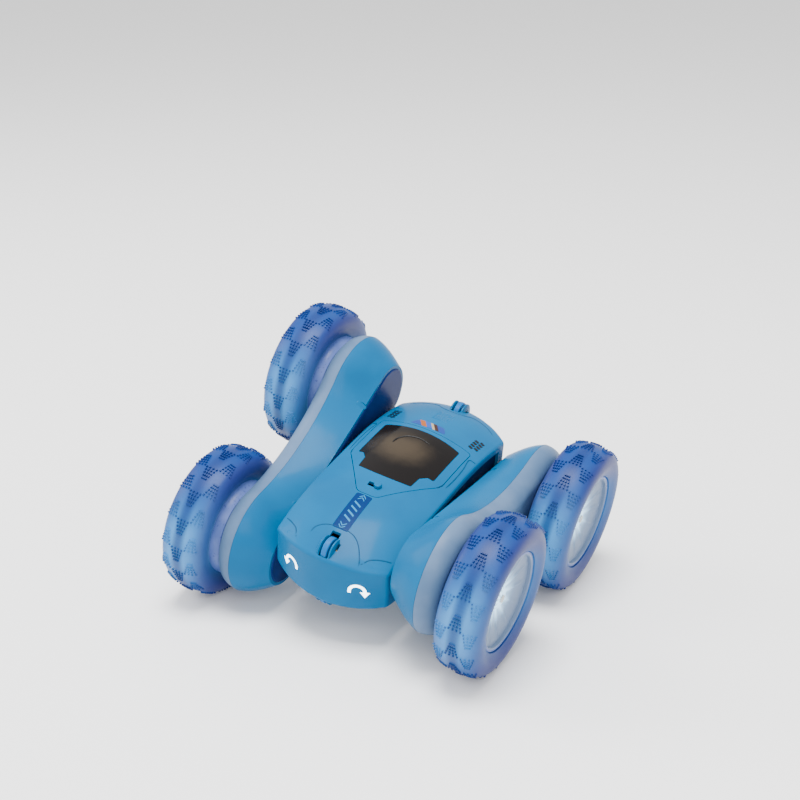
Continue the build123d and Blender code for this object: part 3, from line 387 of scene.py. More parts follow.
def lapped(rings):
    """Points and faces of a closed skin over closed rings, the last joined to the first."""
    count, around = rings.shape[:2]
    index = np.arange(count * around).reshape(count, around)
    ahead = np.roll(index, -1, axis=0)
    corners = [index, np.roll(index, -1, axis=1), np.roll(ahead, -1, axis=1), ahead]
    return rings.reshape(-1, 3), np.stack(corners, axis=-1).reshape(-1, 4)


def spun(across, radius, steps=144):
    """A closed profile turned about X: y is radius times cosine, z is radius times sine."""
    turn = np.linspace(0, 2 * np.pi, steps, endpoint=False)
    across = np.asarray(across, float)[:, None] + 0 * turn
    radius = np.asarray(radius, float)[:, None]
    return lapped(np.stack([across, radius * np.cos(turn), radius * np.sin(turn)], axis=-1))


def bent(start, end, leaving, arriving, steps):
    """A cubic from start to end with given end slopes, by the Hermite weights."""
    t = np.linspace(0, 1, steps)[:, None]
    start, end, leaving, arriving = (np.array(v, float) for v in (start, end, leaving, arriving))
    return (
        start * (2 * t**3 - 3 * t**2 + 1) + leaving * (t**3 - 2 * t**2 + t)
        + end * (3 * t**2 - 2 * t**3) + arriving * (t**3 - t**2)
    )


def half_section(inset):
    """From the middle of the tread over the shoulder to the bead, an inset inside the tyre."""
    crown = crown_radius - inset
    centre = tread_radius - crown_radius
    reach = crown_half - inset / 2
    angle = np.linspace(0, np.arcsin(reach / crown), 14)
    arc = np.stack([crown * np.sin(angle), centre + crown * np.cos(angle)], axis=-1)
    slope = np.array([np.cos(angle[-1]), -np.sin(angle[-1])])
    widest = (tyre_half - inset, widest_radius)
    foot = (bead_half - inset, bead_radius)
    shoulder = bent(arc[-1], widest, slope * shoulder_pull, widest_pull, 12)[1:]
    wall = bent(widest, foot, widest_pull, bead_pull, 12)[1:]
    return np.concatenate([arc, shoulder, wall])


def mirrored_section(half):
    """A half section with its mirror image before it."""
    return np.concatenate([half[::-1] * (-1, 1), half[1:]])


def nubs(start):
    """Tapered nubs in wedge clusters, set square on the tread by length along its section."""
    half = half_section(0)
    step = np.linalg.norm(np.diff(half, axis=0), axis=1)
    length = np.concatenate([[0], np.cumsum(step)])
    row, line = np.meshgrid(np.arange(nub_rows), np.arange(nub_lines), indexing="ij")
    spread = np.linspace(*nub_spread, nub_rows)[row] * (line - (nub_lines - 1) / 2)
    ahead = (row - (nub_rows - 1) / 2) * nub_pitch
    at_across, at_turn = [], []
    for middle, flip, late in ((-column_at, -1, 0.0), (0.0, 1, 0.5), (column_at, -1, 0.0)):
        for cluster in range(clusters):
            turn = start + 2 * np.pi * (cluster + late) / clusters
            at_across.append((middle + spread).ravel())
            at_turn.append((turn + flip * ahead / tread_radius).ravel())
    s, turn = np.concatenate(at_across), np.concatenate(at_turn)
    x = np.sign(s) * np.interp(np.abs(s), length, half[:, 0])
    radius = np.interp(np.abs(s), length, half[:, 1])
    nudge = 0.05
    before, after = (np.interp(np.abs(s) + d, length, half[:, 1]) for d in (-nudge, nudge))
    lean = np.arctan2(before - after, 2 * nudge) * np.sign(s)
    radial = np.stack([0 * turn, np.cos(turn), np.sin(turn)], axis=-1)
    sideways = np.array([1.0, 0, 0])
    normal = radial * np.cos(lean)[:, None] + sideways * np.sin(lean)[:, None]
    across = sideways * np.cos(lean)[:, None] - radial * np.sin(lean)[:, None]
    forward = np.cross(normal, across)
    base = np.stack([x, radius * np.cos(turn), radius * np.sin(turn)], axis=-1)
    corners = []
    for level, size in ((-nub_root, nub_foot), (nub_height, nub_tip)):
        for a, b in ((-1, -1), (1, -1), (1, 1), (-1, 1)):
            away = across * a * size + forward * b * size * nub_stretch
            corners.append(base + normal * level + away)
    points = np.stack(corners, axis=1).reshape(-1, 3)
    lids = [(3, 2, 1, 0), (4, 5, 6, 7)]
    cube = np.array(lids + [(k, (k + 1) % 4, (k + 1) % 4 + 4, k + 4) for k in range(4)])
    faces = (np.arange(len(base))[:, None, None] * 8 + cube).reshape(-1, 4)
    return points, faces


def tyre_rubber(wheel, seat):
    """Translucent blue, violet to the shoulders; a painted inner-lamp glow pales it at middle
    height, not on the nub tips.
    """
    rubber = Finish(f"{wheel}_tyre_rubber", Specular_IOR_Level=0.2, Emission_Strength=1.0)
    point = rubber.place()
    across = abs(rubber.along(point, seat.origin, seat.axes[0]))
    up = rubber.along(point, seat.origin, (0, 0, 1)) / tread_radius
    ahead = rubber.along(point, seat.origin, seat.axes[1])
    above = rubber.along(point, seat.origin, seat.axes[2])
    radius = (ahead * ahead + above * above) ** 0.5
    # Painted glow of the inner lamp: paler and glowing at middle height and over the tread's
    # middle, fading to the top and the foot; the nubs' tips are darker and left out of it.
    lit = abs(up).ramp(0.1, 0.85, 1.0, 0.0) * across.ramp(4, 13, 1.0, 0.2)
    proud = radius.ramp(tread_radius - 0.35, tread_radius + 0.1) * across.ramp(3.0, 9.5, 1.0, 0.0)
    cloud = rubber.noise(point, 0.09, 3)
    lit = lit * (0.7 + cloud * 0.6)
    blue = rubber.mix(across.ramp(6, 12.5), (0.002, 0.034, 0.17), (0.013, 0.020, 0.12))
    painted_pale = rubber.mix(lit, blue, (0.020, 0.11, 0.28))
    colour = rubber.mix(proud * 0.85, painted_pale, (0.002, 0.018, 0.11))
    painted_glow = rubber.mix(lit * (1 - proud * 0.85), (0.0, 0.002, 0.02), (0.06, 0.26, 0.55))
    grain = rubber.noise(point, 1.6, 3)
    return rubber.set(
        Base_Color=colour,
        Emission_Color=painted_glow,
        Roughness=0.36 + grain * 0.12,
        Normal=rubber.bump(grain, 0.02),
    )


def finish_piece(piece, body, material, slot, *nodes):
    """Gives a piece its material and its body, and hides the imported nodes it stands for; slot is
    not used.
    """
    piece.data.materials.append(material)
    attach(piece, body)
    if nodes:
        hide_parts(*nodes)


outside = mirrored_section(half_section(0))
inside = mirrored_section(half_section(tyre_wall))[::-1]
tyre_profile = np.concatenate([outside, inside])
for wheel, seat in wheel_seats.items():
    lowest = np.arctan2(-seat.axes[2][2], -seat.axes[1][2])
    tread = nubs(lowest + np.radians(cluster_lead))
    tyre = piece_from(f"{wheel}_tyre_skin", [spun(*tyre_profile.T), tread], seat, 50)
    finish_piece(tyre, f"{wheel}_wheel", tyre_rubber(wheel, seat), "tyre_blue", f"{wheel}_tyre")

# --- Hubs and axles ------------------------------------------------------------------------
# Moulded translucent hubs: a drum under the tyre and a pale, dished outer face with faint
# spokes, whose light from behind is painted in as a glow. Each is pressed on a steel axle that
# carries the nylon wheel gear.
drum_in = -15.0
drum_radius = 25.3
drum_wall = 2.0
face_rim = 9.6
face_step = 2.0
face_dish = 4.0
face_wall = 1.6
face_radius = 23.9  # of the pale face, which carries the painted glow
inner_edge = 1.7  # depth of the drum's inner edge, and the length of its lead-in
lead_in = 3.0
rim_cut = 0.5  # chamfers of the outer rim, outside and inside
lip_cut = 0.4
boss_radius = 5.0
boss_root = 2.0  # widening where it meets the face
boss_rise = 1.8
boss_cut = (0.4, 0.2, 0.6)  # chamfer: length, and how far its edges lie out and in
axle_bore = 2.05
spokes = 12
spoke_rise = 0.5
petals = 12  # of painted light round the hub's middle


def hub_skin(steps=240):
    """A closed section turned about X; spokes lift the face by a power of a cosine of angle."""
    disc = face_rim - face_step
    bore = drum_radius - drum_wall
    middle = disc - face_dish
    foot = boss_radius + boss_root
    cut, flare, crown = boss_cut
    share = np.linspace(0, 1, 13)
    face = np.stack([disc - face_dish * share, bore + (foot - bore) * share], axis=-1)
    outer = [
        (drum_in, bore - face_wall),
        (drum_in, drum_radius - inner_edge),
        (drum_in + lead_in, drum_radius),
        (face_rim - rim_cut, drum_radius),
        (face_rim, drum_radius - rim_cut),
        (face_rim, bore + lip_cut),
        (face_rim - lip_cut, bore),
    ]
    boss = [
        (middle + boss_rise - cut, boss_radius + flare),
        (middle + boss_rise, boss_radius - crown),
        (middle + boss_rise, axle_bore),
        (drum_in, axle_bore),
        (drum_in, boss_radius),
        (middle - face_wall, boss_radius),
        (middle - face_wall, foot),
    ]
    under = [(disc - face_wall, bore), (drum_in + lead_in, bore)]
    section = np.concatenate([outer, face, boss, under])
    lift = np.zeros(len(section))
    lift[len(outer):len(outer) + len(face)] = spoke_rise * np.sin(np.pi * share) ** 0.5
    turn = np.linspace(0, 2 * np.pi, steps, endpoint=False)
    ridge = np.maximum(np.cos(spokes * turn), 0) ** 3
    across = section[:, :1] + lift[:, None] * ridge
    radius = section[:, 1:]
    return lapped(np.stack([across, radius * np.cos(turn), radius * np.sin(turn)], axis=-1))


def hub_plastic(wheel, seat):
    """Pale grey face, painted paler and glowing round its middle with a painted star burst;
    periwinkle drum with scattered dark specks and a faint painted glow.
    """
    shell = Finish(f"{wheel}_hub_plastic", Specular_IOR_Level=0.2, Emission_Strength=1.0)
    point = shell.place()
    across = shell.along(point, seat.origin, seat.axes[0])
    ahead = shell.along(point, seat.origin, seat.axes[1])
    above = shell.along(point, seat.origin, seat.axes[2])
    radius = (ahead * ahead + above * above) ** 0.5
    face = across.ramp(3.0, 3.4) * radius.ramp(face_radius - 0.3, face_radius + 0.3, 1.0, 0.0)
    cloud = shell.noise(point, 0.12, 3)
    speck = shell.noise(point, 0.75, 1, 0.4).ramp(0.66, 0.72)
    drum = shell.mix(cloud.ramp(0.3, 0.7), (0.050, 0.085, 0.25), (0.075, 0.115, 0.30))
    drum = shell.mix(speck * 0.7, drum, (0.02, 0.03, 0.14))
    # Painted glow: paler and glowing round the face's middle, with a painted star burst of petals,
    # and faintly over the drum.
    around = above.maths("ARCTAN2", above, ahead)
    petal = around.maths("COSINE", around * petals) * 0.5 + 0.5
    painted_middle_share = radius.ramp(3, 20, 1.0, 0.0)
    painted_burst = radius.ramp(4, 15, 1.0, 0.0) * (0.35 + petal * 0.65)
    painted_pale = shell.mix(painted_middle_share, (0.13, 0.17, 0.25), (0.16, 0.25, 0.36))
    painted_glow = shell.mix(painted_middle_share, (0.02, 0.05, 0.10), (0.10, 0.26, 0.45))
    painted_glow = shell.mix(painted_burst * face, painted_glow, (1.6, 2.5, 3.2))
    painted_glow = shell.mix(face, (0.015, 0.03, 0.10), painted_glow)
    grain = shell.noise(point, 2.0, 3)
    return shell.set(
        Base_Color=shell.mix(face, drum, painted_pale),
        Emission_Color=painted_glow,
        Roughness=0.26 + grain * 0.1,
        Normal=shell.bump(grain, 0.01),
    )


for wheel, seat in wheel_seats.items():
    hub = piece_from(f"{wheel}_hub_skin", [hub_skin()], seat, 30)
    finish_piece(hub, f"{wheel}_wheel", hub_plastic(wheel, seat), "hub_clear", f"{wheel}_hub")


def turned_metal(name, colour, roughness, scale=3.0):
    """Bare turned metal: fine noise in its roughness and a trace of tool marks."""
    metal = Finish(name, Metallic=1.0)
    point = metal.place()
    marks = metal.noise(point, scale, 4, 0.65)
    darker = tuple(0.8 * value for value in colour)
    tone = metal.mix(marks, darker, colour)
    return metal.set(
        Base_Color=tone, Roughness=roughness + marks * 0.15, Normal=metal.bump(marks, 0.01)
    )


def moulded(name, one, other, roughness, scale=1.5, depth=0.01):
    """Plain moulded plastic: two near tones in soft clouds, with a fine grain."""
    plastic = Finish(name, Specular_IOR_Level=0.15)
    point = plastic.place()
    grain = plastic.noise(point, scale, 4, 0.6)
    tone = plastic.mix(grain.ramp(0.3, 0.7), one, other)
    return plastic.set(
        Base_Color=tone, Roughness=roughness + grain * 0.12, Normal=plastic.bump(grain, depth)
    )


nylon = moulded("white_nylon", (0.50, 0.52, 0.50), (0.60, 0.61, 0.58), 0.42)
dress(nylon, *[f"{wheel}_axle" for wheel in wheel_names])

# --- Body shells ---------------------------------------------------------------------------
# Two like shells of glossy cyan ABS, the lower one the upper one turned over, screwed together
# at the split line. Their roofs arch across the car and fall towards the nose and the tail.
body_up = np.array(joints["hatch_lift"]["axis"])
body_across = -np.array(joints["latch_slide"]["axis"])
body_seat = Seat(pivot, body_across, np.cross(body_up, body_across))
roof_above = 40.0  # a height over every roof


def flowing(places, at):
    """A smooth curve through places at 0, 1, 2 ...: cubics whose slopes are half differences."""
    places = np.asarray(places, float)
    slope = np.gradient(places, axis=0)
    step = np.clip(np.floor(at).astype(int), 0, len(places) - 2)
    t = (at - step)[:, None]
    one, other = places[step], places[step + 1]
    return (
        one * (2 * t**3 - 3 * t**2 + 1) + slope[step] * (t**3 - 2 * t**2 + t)
        + other * (3 * t**2 - 2 * t**3) + slope[step + 1] * (t**3 - t**2)
    )


def skin_tree(seat, *nodes):
    """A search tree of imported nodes' faces, its points turned into a seat's own frame."""
    points, faces = [], []
    for node in nodes:
        mesh = frame["nodes"][node].data
        corners = np.empty(3 * len(mesh.vertices))
        mesh.vertices.foreach_get("co", corners)
        faces += [[len(points) + corner for corner in face.vertices] for face in mesh.polygons]
        points += ((corners.reshape(-1, 3) / MM - seat.origin) @ seat.axes.T).tolist()
    return BVHTree.FromPolygons(points, faces)


roof_tree = skin_tree(body_seat, "body_top_shell", "hatch_cover", "windshield")


def roof_height(x, y):
    """Where a line straight down first meets the roof; past its edge, where it lies nearest."""
    hit = roof_tree.ray_cast((x, y, roof_above), (0, 0, -1))[0]
    return roof_tree.find_nearest((x, y, 0))[0].z if hit is None else hit.z


def on_roof(plan, proud=0.0):
    """Points over a plan, a rise above the roof's height."""
    heights = np.array([roof_height(x, y) for x, y in plan.reshape(-1, 2)])
    return np.stack([plan[..., 0], plan[..., 1], heights.reshape(plan.shape[:-1]) + proud], axis=-1)


dress(cyan, "body_top_shell", "body_bottom_shell")

# --- Panel lines ---------------------------------------------------------------------------
# Moulded seams of the shells: the step over the nose round the roller, the front wings, the
# doors and the tail's edge. Each is a thin bead let into the roof, dark blue as painted shade of
# the groove, the same above and below.
line_radius = 0.3
line_sunk = 0.12
# The seams' dark blue is painted shade for the grooves they stand in.
painted_seam_shade = moulded("panel_line_painted_shade", (0.0, 0.030, 0.085), (0.0, 0.045, 0.12), 0.5)


def stacked(rings):
    """Points and faces of a skin over a stack of rings, each end closed by strips across it."""
    count, around = rings.shape[:2]
    index = np.arange(count * around).reshape(count, around)
    one, other = index[:-1], index[1:]
    walls = np.stack([one, np.roll(one, -1, 1), np.roll(other, -1, 1), other], axis=-1)
    k = np.arange(around // 2 - 1)
    first = np.stack([k, around - 1 - k, around - 2 - k, k + 1], axis=-1)
    last = (first + (count - 1) * around)[:, ::-1]
    return rings.reshape(-1, 3), np.concatenate([walls.reshape(-1, 4), first, last])


def beaded(path, radius, sides=8):
    """A round bead along a path, thinned to nothing at its ends by a root of its length."""
    ahead = np.gradient(path, axis=0)
    ahead /= np.linalg.norm(ahead, axis=1)[:, None]
    aside = np.cross(ahead, (0, 0, 1))
    aside /= np.linalg.norm(aside, axis=1)[:, None]
    above = np.cross(aside, ahead)
    share = np.linspace(0, 1, len(path))
    size = radius * np.clip(np.minimum(share, 1 - share) * len(path) / 3, 0.15, 1)
    turn = 2 * np.pi * np.arange(sides) / sides
    rings = path[:, None] + size[:, None, None] * (
        aside[:, None] * np.cos(turn)[:, None] + above[:, None] * np.sin(turn)[:, None]
    )
    return stacked(rings)


def line_on_roof(corners, steps=40, radius=line_radius, sunk=line_sunk):
    """A bead over the roof along a smooth curve through plan points."""
    plan = flowing(np.array(corners, float), np.linspace(0, len(corners) - 1, steps))
    return beaded(on_roof(plan, -sunk), radius)


def both_faces(parts):
    """Parts for the upper shell and their mirror images for the lower one."""
    return parts + [(points * (1, 1, -1), faces) for points, faces in parts]


def trim(name, parts, material, slot="shell_blue", body="body"):
    """A piece of trim in the body's own frame, on the body or on what lies in it."""
    finish_piece(piece_from(name, parts, body_seat), body, material, slot)


nose_step = [
    (-12.6, -64.5), (-11.6, -60.2), (-7.0, -57.4), (0, -56.6), (7.4, -57.2), (12.4, -60.4),
    (16.2, -65.6), (18.0, -69.2),
]
wing = [(-30.0, -57.6), (-25.2, -60.2), (-20.8, -63.4), (-17.8, -68.0)]
door = [(28.0, -4.0), (28.6, 6.0), (28.4, 16.0), (27.4, 24.0), (29.4, 25.4), (31.0, 25.6)]
tail_half = [(6.4, 58.6), (11.0, 61.6), (20.0, 60.0), (27.6, 55.0)]
tail_edge = [(-x, y) for x, y in tail_half[::-1]] + [(0, 57.2)] + tail_half
lines = [line_on_roof(run) for run in (nose_step, wing, door, tail_edge)]
lines += [line_on_roof([(-x, y) for x, y in run]) for run in (wing, door)]
trim("panel_lines", both_faces(lines), painted_seam_shade)

# --- Hatch, windshields and latch ----------------------------------------------------------
# The battery hatch is a loose piece of the upper shell, held by a sliding latch, with a smoked
# windshield bonded in it. The lower shell carries the same windshield, fixed.
hatch_corners = [
    (26.5, 29.2), (-26.5, 29.2), (-26.5, -4.0), (-5.5, -33.0), (5.5, -33.0), (26.5, -4.0)
]
hatch_cuts = [2.0, 2.0, 4.8, 3.0, 3.0, 4.8]  # off its corners, along both sides of each
seam_share = 0.995  # of the hatch's size
seam_radius = 0.27
seam_sunk = 0.1
painted_reflection_middle = (-4, 8)  # of the painted brown reflection on the lens, across and along
painted_reflection_squash = 0.6
arc_radius = 0.42
arc_proud = 0.05
dress(cyan, "hatch_cover", "hatch_latch")


def rounded(corners, cuts, steps=8):
    """A closed outline whose corners are parabolas between points a cut away on each side."""
    here = np.array(corners, float)
    before, after = np.roll(here, 1, axis=0) - here, np.roll(here, -1, axis=0) - here
    cuts = np.broadcast_to(cuts, len(here))[:, None]
    before = here + before / np.linalg.norm(before, axis=1)[:, None] * cuts
    after = here + after / np.linalg.norm(after, axis=1)[:, None] * cuts
    t = np.linspace(0, 1, steps)[:, None]
    curve = (
        before[:, None] * (1 - t) ** 2 + 2 * here[:, None] * t * (1 - t) + after[:, None] * t**2
    )
    return curve.reshape(-1, 2)


def spaced(outline, step=1.5):
    """A closed outline with points at even steps along it, an even number of them."""
    closed = np.concatenate([outline, outline[:1]])
    length = np.concatenate([[0], np.cumsum(np.linalg.norm(np.diff(closed, axis=0), axis=1))])
    count = 2 * max(4, int(length[-1] / step / 2))
    at = np.linspace(0, length[-1], count, endpoint=False)
    return np.stack([np.interp(at, length, values) for values in closed.T], axis=-1)


def looped(path, radius, sides=8):
    """A round bead along a closed path."""
    ahead = np.roll(path, -1, axis=0) - np.roll(path, 1, axis=0)
    aside = np.cross(ahead, (0, 0, 1))
    aside /= np.linalg.norm(aside, axis=1)[:, None]
    turn = 2 * np.pi * np.arange(sides) / sides
    up = np.array([0, 0, 1.0])
    rings = path[:, None] + radius * (
        aside[:, None] * np.cos(turn)[:, None] + up * np.sin(turn)[:, None]
    )
    return lapped(rings)


# The hatch's seam is a thin dark blue bead, painted shade of the gap round the hatch.
hatch_line = spaced(rounded(hatch_corners, hatch_cuts)) * seam_share
trim("hatch_seam", [looped(on_roof(hatch_line, -seam_sunk), seam_radius)], painted_seam_shade)

# The smoked lens is near black; the brown patch towards its middle is a painted reflection.
smoked = Finish("smoked_lens", Specular_IOR_Level=0.12)
point = smoked.place()
side_way = smoked.along(point, body_seat.origin, body_seat.axes[0]) - painted_reflection_middle[0]
rear_way = smoked.along(point, body_seat.origin, body_seat.axes[1]) - painted_reflection_middle[1]
painted_reflection_reach = (side_way**2 * painted_reflection_squash + rear_way**2) ** 0.5
cloud = smoked.noise(point, 0.12, 3)
lens_and_painted_reflection = smoked.mix((painted_reflection_reach + cloud * 9).ramp(6, 22), (0.040, 0.030, 0.020), (0.006, 0.005, 0.005))
smoked.set(Base_Color=lens_and_painted_reflection, Roughness=0.08 + cloud * 0.06)
dress(smoked.material, "windshield", "belly_windshield")

black = moulded("black_trim", (0.004, 0.004, 0.005), (0.009, 0.009, 0.010), 0.35)
sunroof = [(-9.5, 9.0), (-8.6, 13.5), (-5.0, 17.4), (1.0, 19.0), (7.6, 17.8)]
upper_arc, lower_arc = both_faces([line_on_roof(sunroof, radius=arc_radius, sunk=-arc_proud)])
trim("windshield_arc", [upper_arc], black, "lens_smoked", "hatch")
trim("belly_arc", [lower_arc], black, "lens_smoked")

# --- Hood labels ---------------------------------------------------------------------------
# A thin indigo foil label down the middle of each hood, with plain pointers at both ends and a
# row of slanted bars between them.
label_half = 4.35
label_from = -57.4
label_to = -33.9
label_middle = (label_from + label_to) / 2
label_cut = 0.8  # off its corners
print_proud = 0.12
outline_step = 0.8
pointer_at = 10.3  # of each pair's middle, from the label's middle
pointer_apart = 0.8  # each from there
pointer_slope = 0.9
pointer_half = 1.8
bar_at = (3.2, 1.6)  # the bars fold about the first distance, then about the second
bar_slope = 0.5
bar_half = 2.2


def on_roof_plate(outline, proud, root=0.5):
    """A plate on the roof: rings shrinking to the outline's middle, with an eased, sunk edge."""
    outline = np.asarray(outline, float)
    centre = outline.mean(axis=0)
    share = np.array([1.0, 1.0, 0.985, 0.94, 0.8, 0.6, 0.4, 0.2, 0.04])
    lift = np.array([-root, proud * 0.5, proud * 0.9] + [proud] * 6)
    plan = centre + share[:, None, None] * (outline - centre)
    return stacked(on_roof(plan, lift[:, None]))


label = Finish("indigo_label", Specular_IOR_Level=0.04)
point = label.place()
side_way = label.along(point, body_seat.origin, body_seat.axes[0])
down_label = label.along(point, body_seat.origin, body_seat.axes[1]) - label_middle
slant = side_way * bar_slope + down_label
outer_way = abs(down_label) + abs(side_way) * pointer_slope
pointers = abs(abs(outer_way - pointer_at) - pointer_apart).ramp(0.25, 0.4, 1.0, 0.0)
pointers = pointers * abs(side_way).ramp(pointer_half - 0.1, pointer_half + 0.1, 1.0, 0.0)
bars = abs(abs(abs(slant) - bar_at[0]) - bar_at[1]).ramp(0.45, 0.6, 1.0, 0.0)
bars = bars * abs(side_way).ramp(bar_half - 0.1, bar_half + 0.1, 1.0, 0.0)
grain = label.noise(point, 1.8, 3)
foil = label.mix(grain.ramp(0.35, 0.65), (0.001, 0.020, 0.095), (0.002, 0.025, 0.112))
foil = label.mix((pointers + bars).ramp(0.3, 0.7), foil, (0.02, 0.17, 0.36))
label.set(Base_Color=foil, Roughness=0.25 + grain * 0.1, Normal=label.bump(grain, 0.004))
label_side = [(label_half, label_from), (label_half, label_to)]
label_corners = label_side + [(-x, y) for x, y in label_side[::-1]]
label_plate = on_roof_plate(spaced(rounded(label_corners, label_cut), outline_step), print_proud)
trim("hood_labels", both_faces([label_plate]), label.material)

# --- Roof stripes --------------------------------------------------------------------------
# A printed badge behind each windshield: plain slanted racing stripes in orange, cream and
# blue on a darker ground.
badge_corners = [(-11.5, 31.1), (9.5, 31.1), (6.5, 36.6), (-8.5, 36.6)]
badge_cut = 1.6  # off its corners
badge_slope = 0.7
badge_ground = (0.010, 0.045, 0.22)
stripes = [  # where each colour starts along the slope
    (17.2, (0.28, 0.075, 0.018)),
    (20.4, (0.012, 0.07, 0.34)),
    (23.6, (0.32, 0.25, 0.15)),
    (25.2, (0.035, 0.014, 0.010)),
    (27.4, badge_ground),
]
badge = Finish("striped_badge", Specular_IOR_Level=0.1)
point = badge.place()
badge_x = badge.along(point, body_seat.origin, body_seat.axes[0])
badge_y = badge.along(point, body_seat.origin, body_seat.axes[1])
skew = badge_x + badge_y * badge_slope
grain = badge.noise(point, 1.6, 3)
ink = badge_ground
for start, colour in stripes:
    ink = badge.mix((skew - start).ramp(0.0, 0.3), ink, colour)
badge.set(Base_Color=ink, Roughness=0.26 + grain * 0.12, Normal=badge.bump(grain, 0.004))
badge_plate = on_roof_plate(spaced(rounded(badge_corners, badge_cut), outline_step), print_proud)
trim("roof_badges", both_faces([badge_plate]), badge.material)

# --- Vents and louvres ---------------------------------------------------------------------
# Clusters of slanted black inserts over the rear wings, moulded to look like openings, and
# fine ribs in the middle of the rear deck.
vent_at = (24.6, 38.5)
vent_pitch = (2.7, 2.5)
vent_stagger = 1.2
vent_shape = np.array([(-1.4, -0.46), (0.84, -1.15), (1.4, 0.46), (-0.84, 1.15)])
vent_cut = 0.25
vent_step = 0.35
vent_proud = 0.14
louvre_places = np.arange(43, 52.5, 1.5)  # along
louvre_half = 5.6
louvre_bow = 0.35
louvre_radius = 0.42
louvre_sunk = 0.1
vents = []
for x in (-1, 1):
    for row in (-0.5, 0.5):
        for step in (-1.5, -0.5, 0.5, 1.5):
            across = vent_at[0] + row * vent_pitch[0]
            along = vent_at[1] + step * vent_pitch[1] + row * vent_stagger
            outline = (x * across, along) + rounded(vent_shape * (x, 1), vent_cut, 5)
            vents.append(on_roof_plate(spaced(outline, vent_step), vent_proud))
trim("roof_vents", both_faces(vents), black)

louvres = []
for y in louvre_places:
    bow = [(-louvre_half, y), (0, y + louvre_bow), (louvre_half, y)]
    louvres.append(line_on_roof(bow, 20, louvre_radius, louvre_sunk))
trim("deck_louvres", both_faces(louvres), cyan)

# --- Rollers and pins ----------------------------------------------------------------------
# Small free rollers in pockets at the nose and the tail, above and below, which let the car
# flip off the floor. Each turns on a brass pin pressed through two ears.
ends = ("nose", "tail")
rollers = [f"{end}_{level}_roller" for end in ends for level in ("top", "bottom")]
dress(moulded("roller_plastic", (0.0, 0.085, 0.27), (0.0, 0.11, 0.32), 0.34), *rollers)
dress(turned_metal("bright_brass", (0.62, 0.42, 0.14), 0.22), "roller_pins")

# --- Roller ears ---------------------------------------------------------------------------
# Rounded cyan tongues that stand out of the shells on both sides of each roller and hold the
# ends of its pin. They are moulded with the shells.
pins_at = {"nose": (-66.0, 13.4), "tail": (66.5, 11.9)}  # along and above, the upper ones
ear_in = 2.4
ear_out = 3.9
ear_radius = 6.3
ear_root = 5.0  # below the pin
ear_round = 0.35
ear_shrink = 0.9  # of its outline, at both faces


def ear(along, up, low, high, steps=24):
    """A rounded tongue square to X: half a circle round the pin over a straight-sided root."""
    turn = np.linspace(0, np.pi, steps)
    y = np.concatenate([ear_radius * np.cos(turn), [-ear_radius, ear_radius]])
    z = np.concatenate([ear_radius * np.sin(turn), [-ear_root, -ear_root]])
    levels = [(low, ear_shrink), (low + ear_round, 1), (high - ear_round, 1), (high, ear_shrink)]
    rings = [
        np.column_stack([np.full(len(y), x), along + share * y, up + share * z])
        for x, share in levels
    ]
    return stacked(np.array(rings))


ears = [
    ear(*pin, *sorted((x * ear_in, x * ear_out))) for pin in pins_at.values() for x in (-1, 1)
]
trim("roller_ears", both_faces(ears), cyan)

# --- Bore covers ---------------------------------------------------------------------------
# Flush cyan strips that close the roller pins' bores where these break out near the edges of
# the roof and the belly. Each takes its cross section from sound roof beside it.
half_width = 31.8  # of the body
end_reach = {"nose": (-74.0, 10.5), "tail": (70.0, 11.0)}  # along, and how far its arc bows
cover_like = {"nose": 15.0, "tail": 9.0}  # across, where the roof is sound
cover_span = {"nose": (16.5, 26.0), "tail": (10.5, 18.0)}  # across
cover_depth = (0.2, 5.6)  # in from the roof's edge
cover_proud = 0.03
cover_root = 0.5


def edge_along(end, x):
    """Where the roof ends: an arc through the end's middle and the body's two corners."""
    reach, bow = end_reach[end]
    radius = (half_width**2 + bow**2) / (2 * bow)
    return reach - np.sign(reach) * (radius - np.sqrt(radius**2 - x**2))


def bore_cover(end, mirrored, steps=30):
    """A strip with the heights of a sound one, at the same places in from the roof's edge."""
    like = cover_like[end]
    inward = -np.sign(end_reach[end][0]) * np.linspace(*cover_depth, 9)
    sound = np.array([roof_height(mirrored * like, y) for y in edge_along(end, like) + inward])
    x = np.linspace(*cover_span[end], steps)[:, None]
    y = edge_along(end, x) + inward
    inner = [roof_height(mirrored * at, along) for at, along in zip(x[:, 0], y[:, -1])]
    top = sound - sound[-1] + np.array(inner)[:, None] + cover_proud
    upper = np.stack([mirrored * x + 0 * y, y, top], axis=-1)
    lower = (upper - (0, 0, cover_root))[:, ::-1]
    return stacked(np.concatenate([upper, lower], axis=1))


trim("bore_covers", both_faces([bore_cover(end, x) for end in ends for x in (-1, 1)]), cyan)

# --- Arm screw plugs -----------------------------------------------------------------------
# Cyan push-in caps that close the four screw holes in each arm shell's flare, cut flush with
# it. Each turns with its arm.
screw_holes = [(y, z) for y in (-33.0, 33.0) for z in (-17.0, 17.0)]
plug_radius = 1.9
plug_rim = 2.1  # of the ring round the hole where the flare is felt
plug_levels = [  # shares of the radius, and depths in the flare
    (0.96, 0.7), (1.0, 0.35), (1.0, 0.0), (0.9, -0.04), (0.5, -0.04), (0.05, -0.04)
]


def flush_plug(tree, hole, around=24):
    """A disc on the plane that fits the flare's heights, by least squares, round its hole."""
    turn = np.linspace(0, 2 * np.pi, around, endpoint=False)
    circle = np.stack([np.cos(turn), np.sin(turn)], axis=-1)
    hits = [tree.ray_cast((0, *place), (1, 0, 0))[0] for place in hole + circle * plug_rim]
    felt = np.array([hit for hit in hits if hit is not None])
    sides = np.column_stack([felt[:, 1:], np.ones(len(felt))])
    fit = np.linalg.lstsq(sides, felt[:, 0], rcond=None)[0]
    rings = []
    for share, depth in plug_levels:
        ring = hole + circle * plug_radius * share
        rings.append(np.column_stack([ring @ fit[:2] + fit[2] + depth, ring]))
    return stacked(np.array(rings))


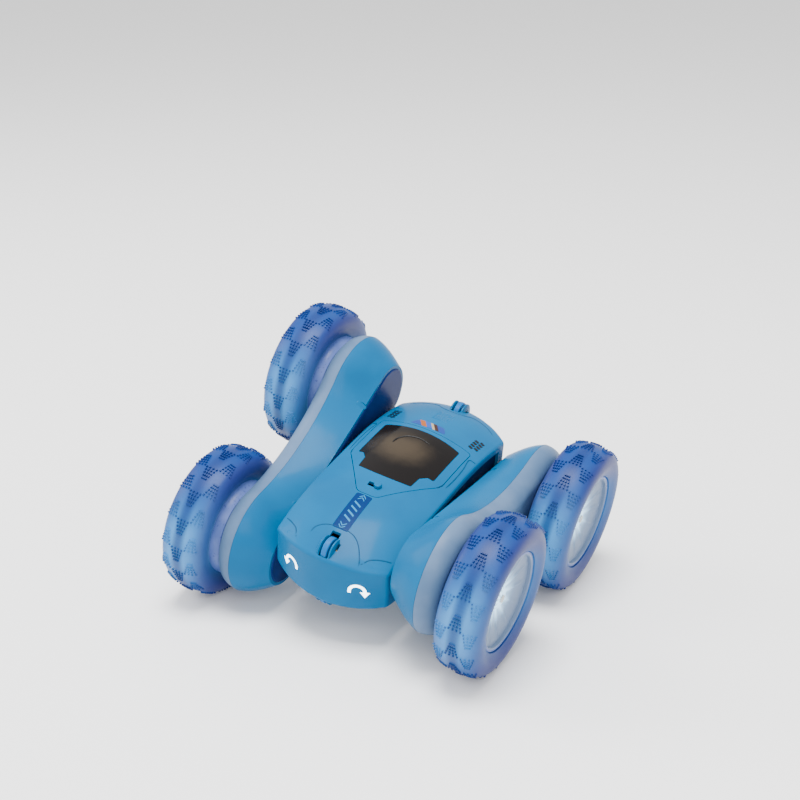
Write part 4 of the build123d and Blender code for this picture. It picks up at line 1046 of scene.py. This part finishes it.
for side, seat in arm_seats.items():
    flare_tree = skin_tree(seat, f"{side}_arm_shell")
    caps = [flush_plug(flare_tree, hole) for hole in screw_holes]
    plugs = piece_from(f"{side}_arm_plugs", caps, seat)
    finish_piece(plugs, f"{side}_arm", cyan, "shell_blue")

# --- Nose lamps ----------------------------------------------------------------------------
# Two curved arrows of frosted plastic let into the front of the nose. They are lit white from
# a small board behind them.
lamp = Finish("lit_arrow", Emission_Strength=1.0, Coat_Weight=0.3)
point = lamp.place()
cloud = lamp.noise(point, 0.5, 2)
lamp.set(
    Base_Color=lamp.mix(cloud, (0.75, 0.9, 0.95), (0.9, 0.95, 1.0)),
    Emission_Color=lamp.mix(cloud, (3.2, 4.2, 4.6), (4.5, 5.0, 5.2)),
    Roughness=0.3 + cloud * 0.1,
)
dress(lamp.material, "arrow_lamps")

# --- Running gear and electrics ------------------------------------------------------------
# What the shells hide: plated motor cans, brass pinions, nylon idlers, green boards, the
# wrapped battery in its black tray, the charging socket, the switch and all the screws.
plated = turned_metal("plated_can", (0.42, 0.43, 0.45), 0.28, 1.2)
brass = turned_metal("machined_brass", (0.50, 0.36, 0.14), 0.3)
zinc = turned_metal("yellow_zinc", (0.48, 0.42, 0.26), 0.3)
solder_mask = moulded("green_solder_mask", (0.008, 0.07, 0.03), (0.014, 0.10, 0.04), 0.3, 0.8)
wrap = moulded("blue_shrink_wrap", (0.01, 0.04, 0.18), (0.016, 0.055, 0.24), 0.28, 0.4, 0.03)
dress(plated, *[f"{side}_{kind}_motor" for side in sides for kind in ("drive", "swing")])
dress(brass, *[f"{side}_{kind}_pinion" for side in sides for kind in ("drive", "swing")])
dress(nylon, *[f"{wheel}_idler" for wheel in wheel_names])
dress(solder_mask, "main_board", "nose_light_board", *[f"{side}_arm_light_board" for side in sides])
dress(zinc, "body_screws", *[f"{side}_arm_screws" for side in sides])
dress(wrap, "battery_pack")
dress(black, "battery_tray", "charge_socket")
dress(moulded("switch_plastic", (0.003, 0.012, 0.05), (0.005, 0.018, 0.07), 0.4), "power_switch")
